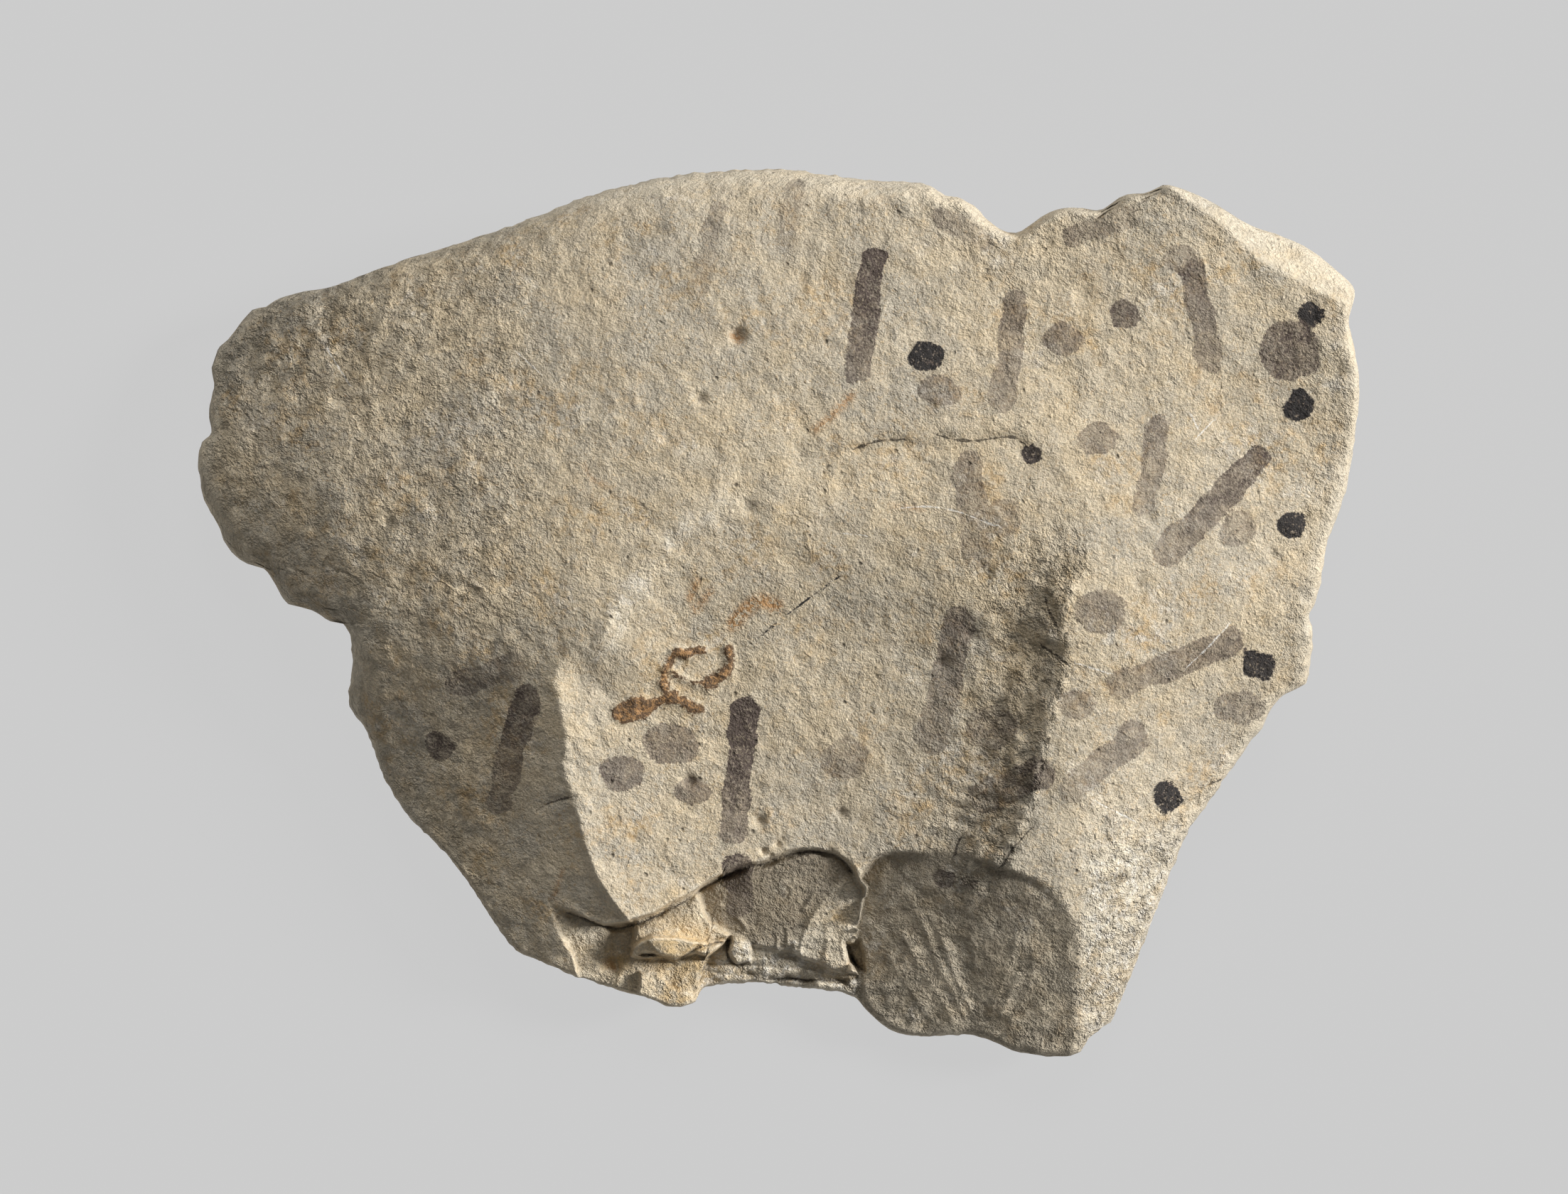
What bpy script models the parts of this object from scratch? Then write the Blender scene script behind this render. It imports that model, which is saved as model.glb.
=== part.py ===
"""A limestone flake lying on its back: one solid stone, with a scarred face above and a plain break below.

It is about 150 mm long and 115 mm across. Lengths are in millimetres until the mesh is made. +Z is up, the
stone rests on z = 0, and x = y = 0 is the middle of its outline. Seen from above, +X is the right of the face
and +Y its top.
"""

import math

import bmesh
import bpy
import numpy as np

MM = 0.001
THICKNESS = 31.0  # at the crown, near the top edge
GRID_CELLS = 240  # across each of the two sheets, before they are thinned
TRIANGLES = 9400  # in the finished solid
STEP_WIDTH = 1.0  # of the broken edges between ledges
RAGGED = 0.35  # how far those edges wander
LEDGE_BLEND = 0.25  # over which two ledges meet

# The rim seen from above, walked clockwise from the left end. Chips and notches have their own corners.
OUTLINE = [
    (-75.0, 20.1), (-74.4, 22.3), (-73.3, 23.7), (-73.6, 26.1), (-73.1, 29.8), (-73.2, 32.1), (-72.2, 34.9),
    (-70.1, 37.1), (-67.9, 39.7), (-66.6, 39.8), (-64.7, 40.9), (-61.4, 41.8), (-57.8, 42.5), (-54.1, 43.8),
    (-48.6, 45.7), (-43.1, 47.3), (-36.7, 49.4), (-30.3, 51.6), (-24.8, 53.8), (-19.3, 55.3), (-13.8, 56.5),
    (-8.3, 57.1), (-1.0, 57.4), (5.4, 56.9), (11.8, 56.0), (19.0, 55.4),
    (21.9, 54.0), (24.6, 53.2), (27.2, 50.8), (29.0, 49.4), (30.9, 48.9), (32.9, 50.1), (35.2, 51.6),
    (37.9, 52.1), (41.8, 51.8), (44.4, 53.6), (47.7, 53.9), (49.9, 54.9),
    (54.9, 53.2), (60.3, 50.1), (64.9, 48.5), (69.0, 46.5), (73.4, 42.8), (74.3, 40.9), (73.5, 37.5),
    (74.4, 33.4), (75.0, 29.3), (74.5, 22.4), (73.5, 16.0), (71.3, 9.6), (70.4, 4.1), (69.1, -0.3),
    (69.5, -2.7), (68.9, -8.2), (68.4, -9.2), (64.9, -11.4), (62.7, -15.3), (59.9, -19.0), (58.3, -21.5),
    (55.8, -25.0), (53.2, -29.0), (51.2, -33.9), (49.2, -38.9), (47.1, -44.4), (45.0, -49.7), (43.7, -52.8),
    (41.1, -55.0), (39.1, -57.2), (35.2, -57.5), (31.2, -56.9), (26.5, -55.0), (22.8, -54.8), (18.2, -55.0),
    (14.6, -54.0), (12.0, -51.7), (9.5, -49.6), (2.7, -48.6), (-3.3, -48.1), (-8.3, -48.4), (-9.8, -49.3),
    (-10.6, -50.7), (-13.4, -51.1), (-17.0, -49.8), (-21.2, -48.6), (-26.2, -47.0), (-30.3, -45.2),
    (-33.8, -43.6), (-36.5, -40.0), (-39.5, -35.4), (-42.2, -31.8), (-45.1, -28.9), (-48.2, -25.6),
    (-50.9, -21.1), (-53.2, -14.9), (-55.1, -12.6), (-55.5, -9.8), (-54.9, -6.4), (-55.2, -3.2), (-56.0, -1.3),
    (-57.8, -0.9), (-60.5, 0.7), (-63.3, 1.3), (-65.3, 4.6), (-66.6, 6.0), (-68.3, 6.4), (-70.8, 8.2),
    (-72.6, 11.8), (-74.3, 14.9), (-74.8, 17.9),
]


def curve_through(points, steps=6, closed=False):
    """A smooth curve through the points, as an array with this many steps in each span."""
    points = np.array(points, float)
    if closed:
        around = np.vstack([points[-1:], points, points[:2]])
    else:
        around = np.vstack([2 * points[0] - points[1], points, 2 * points[-1] - points[-2]])
    t = np.linspace(0, 1, steps, endpoint=False)[:, None]
    spans = []
    for a, b, c, d in zip(around, around[1:], around[2:], around[3:]):
        bend = (2 * a - 5 * b + 4 * c - d) * t**2 + (3 * b - a - 3 * c + d) * t**3
        spans.append(0.5 * (2 * b + (c - a) * t + bend))
    curve = np.vstack(spans)
    return curve if closed else np.vstack([curve, points[-1:]])


def distance_to(x, y, line):
    """Distance to an open line, and which side: positive on the left of someone walking along it."""
    nearest = np.full(x.shape, np.inf)
    side = np.zeros(x.shape)
    for (ax, ay), (bx, by) in zip(line, line[1:]):
        dx, dy = bx - ax, by - ay
        t = np.clip(((x - ax) * dx + (y - ay) * dy) / (dx * dx + dy * dy), 0, 1)
        away = np.hypot(x - ax - t * dx, y - ay - t * dy)
        closer = away < nearest
        nearest = np.where(closer, away, nearest)
        side = np.where(closer, dx * (y - ay) - dy * (x - ax), side)
    return nearest, np.sign(side)


def inside(x, y, outline):
    """True where a point is within the closed outline."""
    within = np.zeros(x.shape, bool)
    for (ax, ay), (bx, by) in zip(outline, np.roll(outline, -1, axis=0)):
        if ay == by:
            continue
        crosses = (ay > y) != (by > y)
        within ^= crosses & (x < ax + (bx - ax) * (y - ay) / (by - ay))
    return within


def depth_within(x, y, outline):
    """Distance inside a closed outline: positive within, negative outside."""
    away, _ = distance_to(x, y, np.vstack([outline, outline[:1]]))
    return np.where(inside(x, y, np.asarray(outline)), away, -away)


def ease(t):
    t = np.clip(t, 0, 1)
    return t * t * (3 - 2 * t)


def ramp(distance, soft):
    """Zero before the line, rising one for one after it, with a bend this soft."""
    return 0.5 * (distance + np.hypot(distance, soft))


def settle(distance, reach):
    """Rises from 0 at the line to nearly 1 a few reaches away."""
    return 1 - np.exp(-np.clip(distance, 0, None) / reach)


def lattice(column, row, seed):
    """A repeatable value from -1 to 1 for each whole-numbered corner."""
    h = (column * 374761393 + row * 668265263 + seed * 974634777) & 0xFFFFFFFF
    h = ((h ^ (h >> 13)) * 1274126177) & 0xFFFFFFFF
    return ((h ^ (h >> 16)) & 0xFFFF) / 32767.5 - 1


def waves(x, y, size, seed):
    """Smooth irregular waves from about -1 to 1, with humps about this many millimetres across."""
    turn = 0.6 + 1.3 * seed
    u = (x * math.cos(turn) - y * math.sin(turn)) / size
    v = (x * math.sin(turn) + y * math.cos(turn)) / size
    column, row = np.floor(u).astype(np.int64), np.floor(v).astype(np.int64)
    s, t = ease(u - column), ease(v - row)
    low = lattice(column, row, seed) * (1 - s) + lattice(column + 1, row, seed) * s
    high = lattice(column, row + 1, seed) * (1 - s) + lattice(column + 1, row + 1, seed) * s
    return low * (1 - t) + high * t


RIM = curve_through(OUTLINE, closed=True)

# Crest on the left of the middle hollow, from its top corner down to its foot.
LEFT_CREST = curve_through([
    (4.0, 20.6), (-2.9, 18.6), (-9.0, 13.6), (-13.0, 8.9), (-16.8, 5.0), (-19.9, 0.6), (-22.1, -3.6),
    (-25.5, -4.9), (-27.7, -7.8), (-27.3, -12.1), (-26.6, -15.6), (-26.9, -19.7), (-25.9, -23.2),
    (-25.0, -26.1), (-24.3, -29.3), (-22.8, -33.4), (-20.6, -36.9), (-18.3, -39.7),
])
# Crest on its right.
RIGHT_CREST = curve_through([
    (32.1, 21.7), (36.0, 18.3), (38.6, 14.9), (39.1, 11.6), (38.9, 6.7), (36.9, 2.1), (36.2, -1.4),
    (36.9, -6.4), (35.6, -10.8), (34.2, -15.8), (33.5, -19.2), (32.1, -25.2), (29.3, -31.9),
])
# The thin step where the hollow's flake snapped off.
SNAP_LINE = curve_through([
    (4.0, 20.6), (6.4, 21.0), (10.5, 21.7), (15.5, 22.1), (20.1, 22.5), (21.9, 22.7), (24.5, 22.1),
    (28.1, 22.4), (31.1, 22.0), (32.1, 21.7),
])
# The scallop struck from the bottom edge: its crest runs over the top and down the right side.
SCALLOP_CREST = curve_through([
    (10.7, -33.6), (11.8, -32.0), (13.2, -30.8), (15.7, -30.4), (19.1, -30.4), (22.8, -30.4), (25.5, -30.8),
    (28.3, -32.0), (30.6, -32.7), (33.1, -33.7), (35.6, -35.3), (37.6, -37.1), (38.9, -39.2), (39.5, -42.1),
    (39.4, -47.2), (39.3, -52.7), (39.3, -60.0),
])
SCALLOP_LEFT = [
    (10.4, -60.0), (10.4, -50.0), (9.1, -47.7), (10.9, -47.0), (9.6, -44.6), (9.1, -42.8), (10.4, -42.4),
    (10.6, -40.3), (11.1, -37.8), (11.9, -35.3),
]
# Inner edge of the bevel at the upper right corner.
BEVEL_EDGE = curve_through([
    (49.9, 56.5), (49.9, 54.9), (52.1, 52.7), (54.9, 50.8), (57.1, 49.2), (59.9, 46.4), (62.2, 44.6),
    (64.9, 43.2), (67.7, 41.7), (70.4, 40.3), (73.6, 38.7), (77.0, 37.0),
])
# A small scar against the foot of the left crest.
NICK = [
    (-30.3, -25.2), (-27.6, -24.8), (-25.3, -24.1), (-24.3, -29.3), (-22.8, -33.4), (-20.6, -36.9),
    (-18.3, -39.7), (-22.1, -40.8), (-23.9, -40.0), (-26.2, -38.5), (-28.3, -37.3), (-29.2, -34.3),
    (-29.8, -31.1), (-29.6, -27.9),
]
# The hollow runs on to the rim, under the ledges and the scallop that cut deeper than it does.
HOLLOW = np.vstack([LEFT_CREST[::-1], SNAP_LINE[1:], RIGHT_CREST[1:], [(31.0, -62.0), (-22.0, -62.0)]])
SCALLOP = np.vstack([SCALLOP_CREST, SCALLOP_LEFT])

# Broken ledges under the lip. Each has its outline, its height in the middle, its rise along X and Y, and
# perhaps how much it bows along X.
LEDGES = [
    # a pale ledge just under the left end of the lip
    ([(-18.2, -39.6), (-15.7, -39.0), (-12.9, -37.4), (-10.3, -35.9), (-9.7, -37.1), (-9.0, -38.9),
      (-7.9, -40.1), (-6.0, -41.6), (-6.7, -42.1), (-10.2, -42.0), (-12.9, -41.4), (-15.7, -41.3), (-17.5, -41.9),
      (-18.6, -42.6)], 12.8, -0.10, 0.30),
    # the tongue, and the pale block at its right end
    ([(-10.3, -35.9), (-8.3, -34.6), (-6.0, -33.4), (-3.8, -32.5), (-1.2, -31.9), (1.1, -31.2), (3.4, -30.7),
      (5.4, -30.5), (7.4, -30.8), (8.7, -31.7), (9.8, -33.0), (11.1, -35.3), (10.7, -37.5), (10.4, -42.6),
      (9.3, -42.7), (9.5, -44.9), (8.8, -46.5), (6.8, -45.8), (3.6, -44.6), (0.8, -43.3), (-3.1, -42.6),
      (-6.0, -41.6), (-7.9, -40.1), (-9.0, -38.9), (-9.7, -37.1)], 12.2, 0.02, 0.42, 0.005),
    # the bedding layers above the bottom rim
    ([(-6.0, -41.7), (-3.1, -42.6), (0.8, -43.3), (2.7, -41.7), (3.6, -44.4), (6.8, -45.8), (8.8, -46.5),
      (10.7, -46.9), (10.9, -49.9), (7.7, -50.1), (0.8, -49.9), (-4.7, -49.7), (-9.7, -50.1), (-9.9, -47.2),
      (-8.8, -44.4), (-6.5, -42.6)], 7.0, 0.0, 0.45),
    # a low facet over the bottom rim
    ([(-20.0, -45.3), (-18.6, -44.0), (-17.5, -44.4), (-12.7, -44.7), (-10.2, -44.0), (-8.8, -44.4),
      (-9.9, -47.2), (-9.7, -50.1), (-10.4, -52.0), (-15.2, -52.0), (-17.5, -50.1), (-21.2, -49.0)], 8.3, -0.10, 0.32),
    # the broken ground below the left crest's foot
    ([(-28.7, -38.0), (-24.8, -39.4), (-22.1, -40.5), (-18.2, -39.8), (-18.6, -42.6), (-18.6, -44.0),
      (-20.0, -45.3), (-21.2, -49.0), (-24.8, -49.0), (-25.7, -44.0), (-27.6, -40.3)], 10.4, -0.12, 0.35),
    # the notch beside the scallop
    ([(9.3, -42.7), (10.7, -42.4), (11.0, -44.4), (11.1, -46.2), (9.5, -44.9)], 6.0, 0.0, 0.3),
]
# Blocks left standing on the ledges, in the same form.
BLOCKS = [
    # a wedge, split from the layer under it
    ([(-18.4, -42.6), (-15.7, -41.3), (-12.9, -41.4), (-10.2, -42.0), (-6.7, -42.1), (-9.2, -43.1),
      (-11.1, -43.7), (-12.7, -44.7), (-15.2, -44.6), (-17.5, -44.4), (-18.6, -44.0)], 12.4, -0.12, 0.22),
    # the knob at the bottom left
    ([(-17.5, -46.2), (-14.7, -46.7), (-12.9, -48.5), (-10.2, -49.0), (-9.9, -52.0), (-15.2, -52.0),
      (-16.6, -50.8), (-17.9, -49.0)], 8.9, -0.30, 0.12),
    # a small square block
    ([(-5.8, -41.7), (-4.4, -41.5), (-3.1, -42.6), (-3.3, -45.3), (-5.1, -45.4), (-6.0, -44.0)],
     10.0, -0.15, 0.15),
    # a bright sliver at the rim
    ([(4.9, -46.9), (9.1, -47.5), (10.9, -46.9), (10.0, -50.1), (5.4, -49.2)], 6.9, -0.20, 0.10),
]


def crown(x, y):
    """The broad form of the face: a plateau that falls away to the left, the bottom and the lower right."""
    fall_left = 0.35 * ramp(-24 - x, 26) + 0.06 * ramp(-54 - x, 4)
    fall_top = 0.30 * ramp(-0.28 * x + 0.96 * y - 41, 9)
    fall_down = 0.23 * ramp(4 - y, 12) * (1 - 0.5 * ease((x - 28) / 26))
    fall_right = (0.12 + 0.08 * ease((36 - y) / 20) + 0.77 * ease((6 - y) / 44)) * ramp(x - 38, 5)
    fall_tip = 0.40 * ramp(-36 - y, 5) * ease((x - 20) / 16)
    fall_lobe = 0.30 * ramp(-0.6 * x - 0.8 * y - 29, 2.5) * ease((-50 - x) / 8)
    rise_peak = 0.18 * ramp(0.6 * x + 0.8 * y - 54, 8)
    z = THICKNESS - fall_left - fall_top - fall_down - fall_right - fall_tip - fall_lobe + rise_peak
    return z + 0.45 * waves(x, y, 17, 1) + 0.22 * waves(x, y, 8, 2)


def left_face(x, y):
    """How far the face left of the left crest drops below the crown."""
    away, side = distance_to(x, y, LEFT_CREST)
    drop = 0.29 * away - ramp(0.29 * away - 0.45 * ramp(-5 - y, 5), 1.5)
    return np.where(side < 0, drop * ease((3 - y) / 6), 0)


def hollow(x, y):
    """How far the middle hollow is sunk: gently at its top, with a steeper wall under the right crest."""
    left, _ = distance_to(x, y, LEFT_CREST)
    right, _ = distance_to(x, y, RIGHT_CREST)
    top, _ = distance_to(x, y, SNAP_LINE)
    deep = 2.0 + 4.5 * ease((16 - y) / 22)
    sunk = deep * settle(left, 13) * settle(right, 10) * settle(top, 12)
    snapped = 0.45 * ease(top / 0.8) * np.exp(-top / 8)
    return np.where(inside(x, y, HOLLOW), sunk + snapped, 0)


def scalloped(x, y, z):
    """Cuts the shell-shaped scar, a dished face that looks down the stone and a little to the left."""
    away, _ = distance_to(x, y, SCALLOP_CREST)
    u, v = x - 26, y + 44
    scar = 12.6 + 0.235 * u + 0.48 * v - 0.003 * u**2 + 0.006 * u * v
    return np.where(inside(x, y, SCALLOP), z + (scar - z) * ease(away / 0.8), z)


def nick(x, y):
    within = depth_within(x, y, NICK)
    return np.where(within > 0, np.clip(0.13 * (x + 30), 0, 1.4) * ease(within / 1.5), 0)


def bevel(x, y):
    """The steep facet outside the bevel's inner edge."""
    away, side = distance_to(x, y, BEVEL_EDGE)
    return np.where(side > 0, 0.95 * away, 0)


def plane_at(x, y, outline, height, along_x, along_y, bow=0.0):
    middle = np.mean(outline, axis=0)
    dx, dy = x - middle[0], y - middle[1]
    return height + along_x * dx + along_y * dy - bow * dx**2


def broken(x, y, z):
    """Cuts all the ledges together, so that no fin stands between two of them, then raises the blocks."""
    x, y = x + RAGGED * waves(x, y, 2.6, 11), y + RAGGED * waves(x, y, 2.6, 12)
    depth = np.array([depth_within(x, y, np.array(ledge[0])) for ledge in LEDGES])
    share = np.exp(np.clip((depth - depth.max(axis=0)) / LEDGE_BLEND, -30, 0))
    floor = sum(part * plane_at(x, y, *ledge) for part, ledge in zip(share, LEDGES)) / share.sum(axis=0)
    z = z - np.clip(z - floor, 0, None) * ease(1 + depth.max(axis=0) / STEP_WIDTH)
    for block in BLOCKS:
        within = ease(0.5 + depth_within(x, y, np.array(block[0])) / STEP_WIDTH)
        z = z + np.clip(plane_at(x, y, *block) - z, 0, None) * within
    return z


def face_height(x, y):
    """The upper face without its rim."""
    z = crown(x, y) - left_face(x, y) - hollow(x, y) - nick(x, y) - bevel(x, y)
    return broken(x, y, scalloped(x, y, z))


# How far in from the rim the upper face starts to round over, at angles round the outline in degrees.
ROUNDING = [
    (-180, 2.7), (-165, 1.0), (-140, 0.8), (-110, 0.8), (-70, 1.0), (-52, 1.4), (-20, 1.2), (0, 1.4),
    (25, 1.4), (34, 1.2), (47, 1.2), (58, 2.0), (66, 4.0), (80, 7.0), (100, 8.0), (130, 5.0), (150, 3.0),
    (165, 2.4), (180, 2.7),
]
UNDERCUT = 5.0  # how far in from a thin rim the back starts to curve up, and half a thick rim's height more

# Planes of the back: the direction each one rises in, how far from the middle it starts, and its grade.
BACK_PLANES = [
    (0.00, 1.00, 18, 0.10), (0.00, 1.00, 38, 0.25), (-0.45, 0.89, 36, 0.12), (0.70, 0.71, 26, 0.09),
    (1.00, 0.00, 24, 0.07), (1.00, 0.00, 50, 0.16), (0.90, -0.43, 36, 0.08), (0.10, -0.99, 26, 0.05),
    (-0.75, -0.66, 28, 0.08), (-1.00, 0.00, 28, 0.08), (-1.00, 0.00, 52, 0.10),
]


def back_height(x, y):
    """The back without its rim: flat in the middle where the stone rests, and well under the face."""
    lift = np.zeros(x.shape)
    for nx, ny, start, grade in BACK_PLANES:
        lift = lift + grade * np.clip(nx * x + ny * y - start, 0, None)
    lift = lift * (1 + 0.10 * waves(x, y, 14, 5) + 0.05 * waves(x, y, 6, 6))
    return np.minimum(lift, 0.35 * np.clip(crown(x, y), 0, None))


def sheets(x, y, at_rim=False):
    """Heights of the upper face and of the back. They meet at the rim."""
    face = np.clip(face_height(x, y), 3.0, None)
    back = back_height(x, y)
    seam = back + (face - back) * (0.48 + 0.10 * waves(x, y, 20, 7))
    away = np.where(at_rim, 0, np.abs(depth_within(x, y, RIM)))
    over_width = np.interp(np.degrees(np.arctan2(y, x)), *np.array(ROUNDING).T)
    under_width = UNDERCUT + 0.5 * (crown(x, y) - back)
    over = np.sqrt(1 - (1 - np.clip(away / over_width, 0, 1)) ** 2)
    under = np.sqrt(1 - (1 - np.clip(away / under_width, 0, 1)) ** 2)
    return seam + (face - seam) * over, seam + (back - seam) * under


def rim_radius(angle):
    """How far the rim is from the middle, at these angles in radians."""
    around = np.arctan2(RIM[:, 1], RIM[:, 0])
    order = np.argsort(around)
    return np.interp(angle, around[order], np.hypot(RIM[order, 0], RIM[order, 1]), period=2 * math.pi)


def on_stone(column, row):
    """Moves a square grid from -1 to 1 onto the stone's outline."""
    x = column * np.sqrt(1 - row**2 / 2)
    y = row * np.sqrt(1 - column**2 / 2)
    reach = np.hypot(x, y) * rim_radius(np.arctan2(y, x))
    angle = np.arctan2(y, x)
    return reach * np.cos(angle), reach * np.sin(angle)


def add_sheet(bm, upper):
    """One sheet of the stone, as a grid laid over its outline."""
    made = bmesh.ops.create_grid(bm, x_segments=GRID_CELLS, y_segments=GRID_CELLS, size=1.0)
    flat = np.array([v.co[:2] for v in made["verts"]])
    x, y = on_stone(*np.clip(flat, -1, 1).T)
    z = sheets(x, y, at_rim=np.abs(flat).max(axis=1) > 0.9999)[0 if upper else 1]
    for v, co in zip(made["verts"], np.stack([x, y, z], axis=1) * MM):
        v.co = co
    if not upper:
        bmesh.ops.reverse_faces(bm, faces=list({f for v in made["verts"] for f in v.link_faces}))


def thinned(mesh):
    """The same solid with fewer triangles, kept closest where the face bends most."""
    working = bpy.data.objects.new("working", mesh)
    bpy.context.scene.collection.objects.link(working)
    collapse = working.modifiers.new("thin", "DECIMATE")
    collapse.ratio = TRIANGLES / (2 * len(mesh.polygons))
    result = bpy.data.meshes.new_from_object(working.evaluated_get(bpy.context.evaluated_depsgraph_get()))
    bpy.data.objects.remove(working)
    return result


def settled(mesh):
    """Sets the mesh on z = 0 with x = y = 0 at the middle of its outline, and its rest patch truly flat."""
    co = np.array([v.co for v in mesh.vertices])
    co[:, 2] = np.where(co[:, 2] < 0.02 * MM, 0, co[:, 2])
    co[:, :2] -= (co[:, :2].max(axis=0) + co[:, :2].min(axis=0)) / 2
    for v, p in zip(mesh.vertices, co):
        v.co = p
    print("size in mm:", np.round((co.max(axis=0) - co.min(axis=0)) / MM, 2))


def limestone():
    material = bpy.data.materials.new("limestone")
    material.use_nodes = True
    shader = material.node_tree.nodes["Principled BSDF"]
    shader.inputs["Base Color"].default_value = (0.42, 0.35, 0.26, 1)
    shader.inputs["Roughness"].default_value = 0.9
    return material


def build():
    for old in list(bpy.data.objects):
        bpy.data.objects.remove(old)
    bm = bmesh.new()
    add_sheet(bm, upper=True)
    add_sheet(bm, upper=False)
    bmesh.ops.remove_doubles(bm, verts=bm.verts, dist=0.01 * MM)
    bmesh.ops.recalc_face_normals(bm, faces=bm.faces)
    full = bpy.data.meshes.new("full")
    bm.to_mesh(full)
    bm.free()
    mesh = thinned(full)
    mesh.name = "limestone_flake"
    settled(mesh)
    mesh.materials.clear()
    mesh.materials.append(limestone())
    stone = bpy.data.objects.new("limestone_flake", mesh)
    bpy.context.scene.collection.objects.link(stone)
    print("triangles:", sum(len(p.vertices) - 2 for p in mesh.polygons))


build()
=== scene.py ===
# %% [markdown]
# # A knapped limestone flake
# The stone lies on its back and is seen from straight above. It is one piece of pale limestone, about 150 mm long,
# broken from a larger block by blows at its edge. Each blow left its own scar, and the light from the right side
# shows those scars and the grain. The lesson makes the light first, then the form, then the finish of the stone.

import math

import bmesh
import bpy
import numpy as np
from mathutils import Matrix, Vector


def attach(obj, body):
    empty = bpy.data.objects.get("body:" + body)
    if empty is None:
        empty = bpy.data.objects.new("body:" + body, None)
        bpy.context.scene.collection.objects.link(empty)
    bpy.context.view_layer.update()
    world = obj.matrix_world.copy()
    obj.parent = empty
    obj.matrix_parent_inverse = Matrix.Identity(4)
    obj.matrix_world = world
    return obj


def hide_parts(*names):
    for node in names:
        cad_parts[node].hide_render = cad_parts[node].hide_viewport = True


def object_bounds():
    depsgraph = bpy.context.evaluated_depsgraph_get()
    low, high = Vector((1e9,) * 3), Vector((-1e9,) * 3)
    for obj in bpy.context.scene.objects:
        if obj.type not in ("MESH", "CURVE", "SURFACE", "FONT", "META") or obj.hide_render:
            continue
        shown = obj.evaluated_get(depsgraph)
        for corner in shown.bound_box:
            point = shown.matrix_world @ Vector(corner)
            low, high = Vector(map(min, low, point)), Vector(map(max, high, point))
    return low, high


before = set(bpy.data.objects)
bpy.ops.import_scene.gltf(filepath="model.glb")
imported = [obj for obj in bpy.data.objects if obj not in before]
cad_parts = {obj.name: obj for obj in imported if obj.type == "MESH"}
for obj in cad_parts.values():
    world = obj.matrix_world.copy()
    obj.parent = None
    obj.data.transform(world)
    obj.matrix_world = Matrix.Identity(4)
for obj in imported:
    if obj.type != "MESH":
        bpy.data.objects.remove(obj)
CAD_LOW, CAD_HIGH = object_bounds()
MM = 0.001
size = [round(v / MM, 1) for v in CAD_HIGH - CAD_LOW]
print("solids in the frame:", sorted(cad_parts), "size in mm:", size)

# %% [markdown]
# ## Camera
# The camera hangs straight over the stone. A long lens from more than a metre away keeps the outline free of
# perspective, as in a museum photograph. The frame is 202 mm wide at half the stone's height.

# %% Camera
SENSOR = 36.0
LENS = 200.0
FRAME_WIDTH = 202.0  # mm seen across the picture, at the height of the stone's shoulder
SHOULDER = 15.0
VIEW_CENTRE = (1.1, 2.3)  # mm, where the middle of the picture falls on the stone


def place_camera():
    data = bpy.data.cameras.new("overhead camera")
    data.sensor_width = SENSOR
    data.lens = LENS
    data.clip_start, data.clip_end = 0.05, 60
    camera = bpy.data.objects.new("overhead camera", data)
    height = SHOULDER + FRAME_WIDTH * LENS / SENSOR
    camera.location = [VIEW_CENTRE[0] * MM, VIEW_CENTRE[1] * MM, height * MM]
    bpy.context.scene.collection.objects.link(camera)
    bpy.context.scene.camera = camera
    print("camera height in mm:", round(height))


place_camera()

# %% [markdown]
# ## Light
# One soft key light stands to the right, only 26 degrees above the table. Such raking light makes every grain throw
# a small shadow. A weaker light from the top end and a little light from all round keep the shadows open. Suns are
# used because their light falls the same way on every part of the stone.

# %% Lights
KEY = {"turn": 12, "height": 26, "strength": 4.3, "softness": 14}
TOP_LIGHT = {"turn": 80, "height": 42, "strength": 1.4, "softness": 25}
ROOM_LIGHT = 0.12


def add_sun(name, turn, height, strength, softness):
    """A sun whose light comes from this compass turn, counted from +X towards +Y, in degrees."""
    data = bpy.data.lights.new(name, "SUN")
    data.energy = strength
    data.angle = math.radians(softness)
    sun = bpy.data.objects.new(name, data)
    sun.rotation_euler = (math.radians(90 - height), 0, math.radians(turn + 90))
    bpy.context.scene.collection.objects.link(sun)


add_sun("key light", **KEY)
add_sun("light from the top end", **TOP_LIGHT)

world = bpy.data.worlds.new("studio")
world.use_nodes = True
world.node_tree.nodes["Background"].inputs["Color"].default_value = (1, 1, 1, 1)
world.node_tree.nodes["Background"].inputs["Strength"].default_value = ROOM_LIGHT
bpy.context.scene.world = world
bpy.context.scene.view_settings.view_transform = "Standard"

# %% [markdown]
# ## Floor
# The ground is an even pale grey with hardly any shadow on it, as on a light table. So the floor glows softly by
# itself and only takes a little of the room's light.

# %% Floor
FLOOR_GLOW = 0.575
FLOOR_SIDE = 16.0  # metres


def add_floor():
    bm = bmesh.new()
    bmesh.ops.create_grid(bm, x_segments=1, y_segments=1, size=FLOOR_SIDE / 2)
    mesh = bpy.data.meshes.new("floor")
    bm.to_mesh(mesh)
    bm.free()
    floor = bpy.data.objects.new("floor", mesh)
    bpy.context.scene.collection.objects.link(floor)
    material = bpy.data.materials.new("light table")
    material.use_nodes = True
    shader = material.node_tree.nodes["Principled BSDF"]
    shader.inputs["Base Color"].default_value = (0.03, 0.03, 0.03, 1)
    shader.inputs["Roughness"].default_value = 1.0
    shader.inputs["Specular IOR Level"].default_value = 0.0
    shader.inputs["Emission Color"].default_value = (1, 1, 1, 1)
    shader.inputs["Emission Strength"].default_value = FLOOR_GLOW
    mesh.materials.append(material)


add_floor()
print("floor glow:", FLOOR_GLOW)

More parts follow.
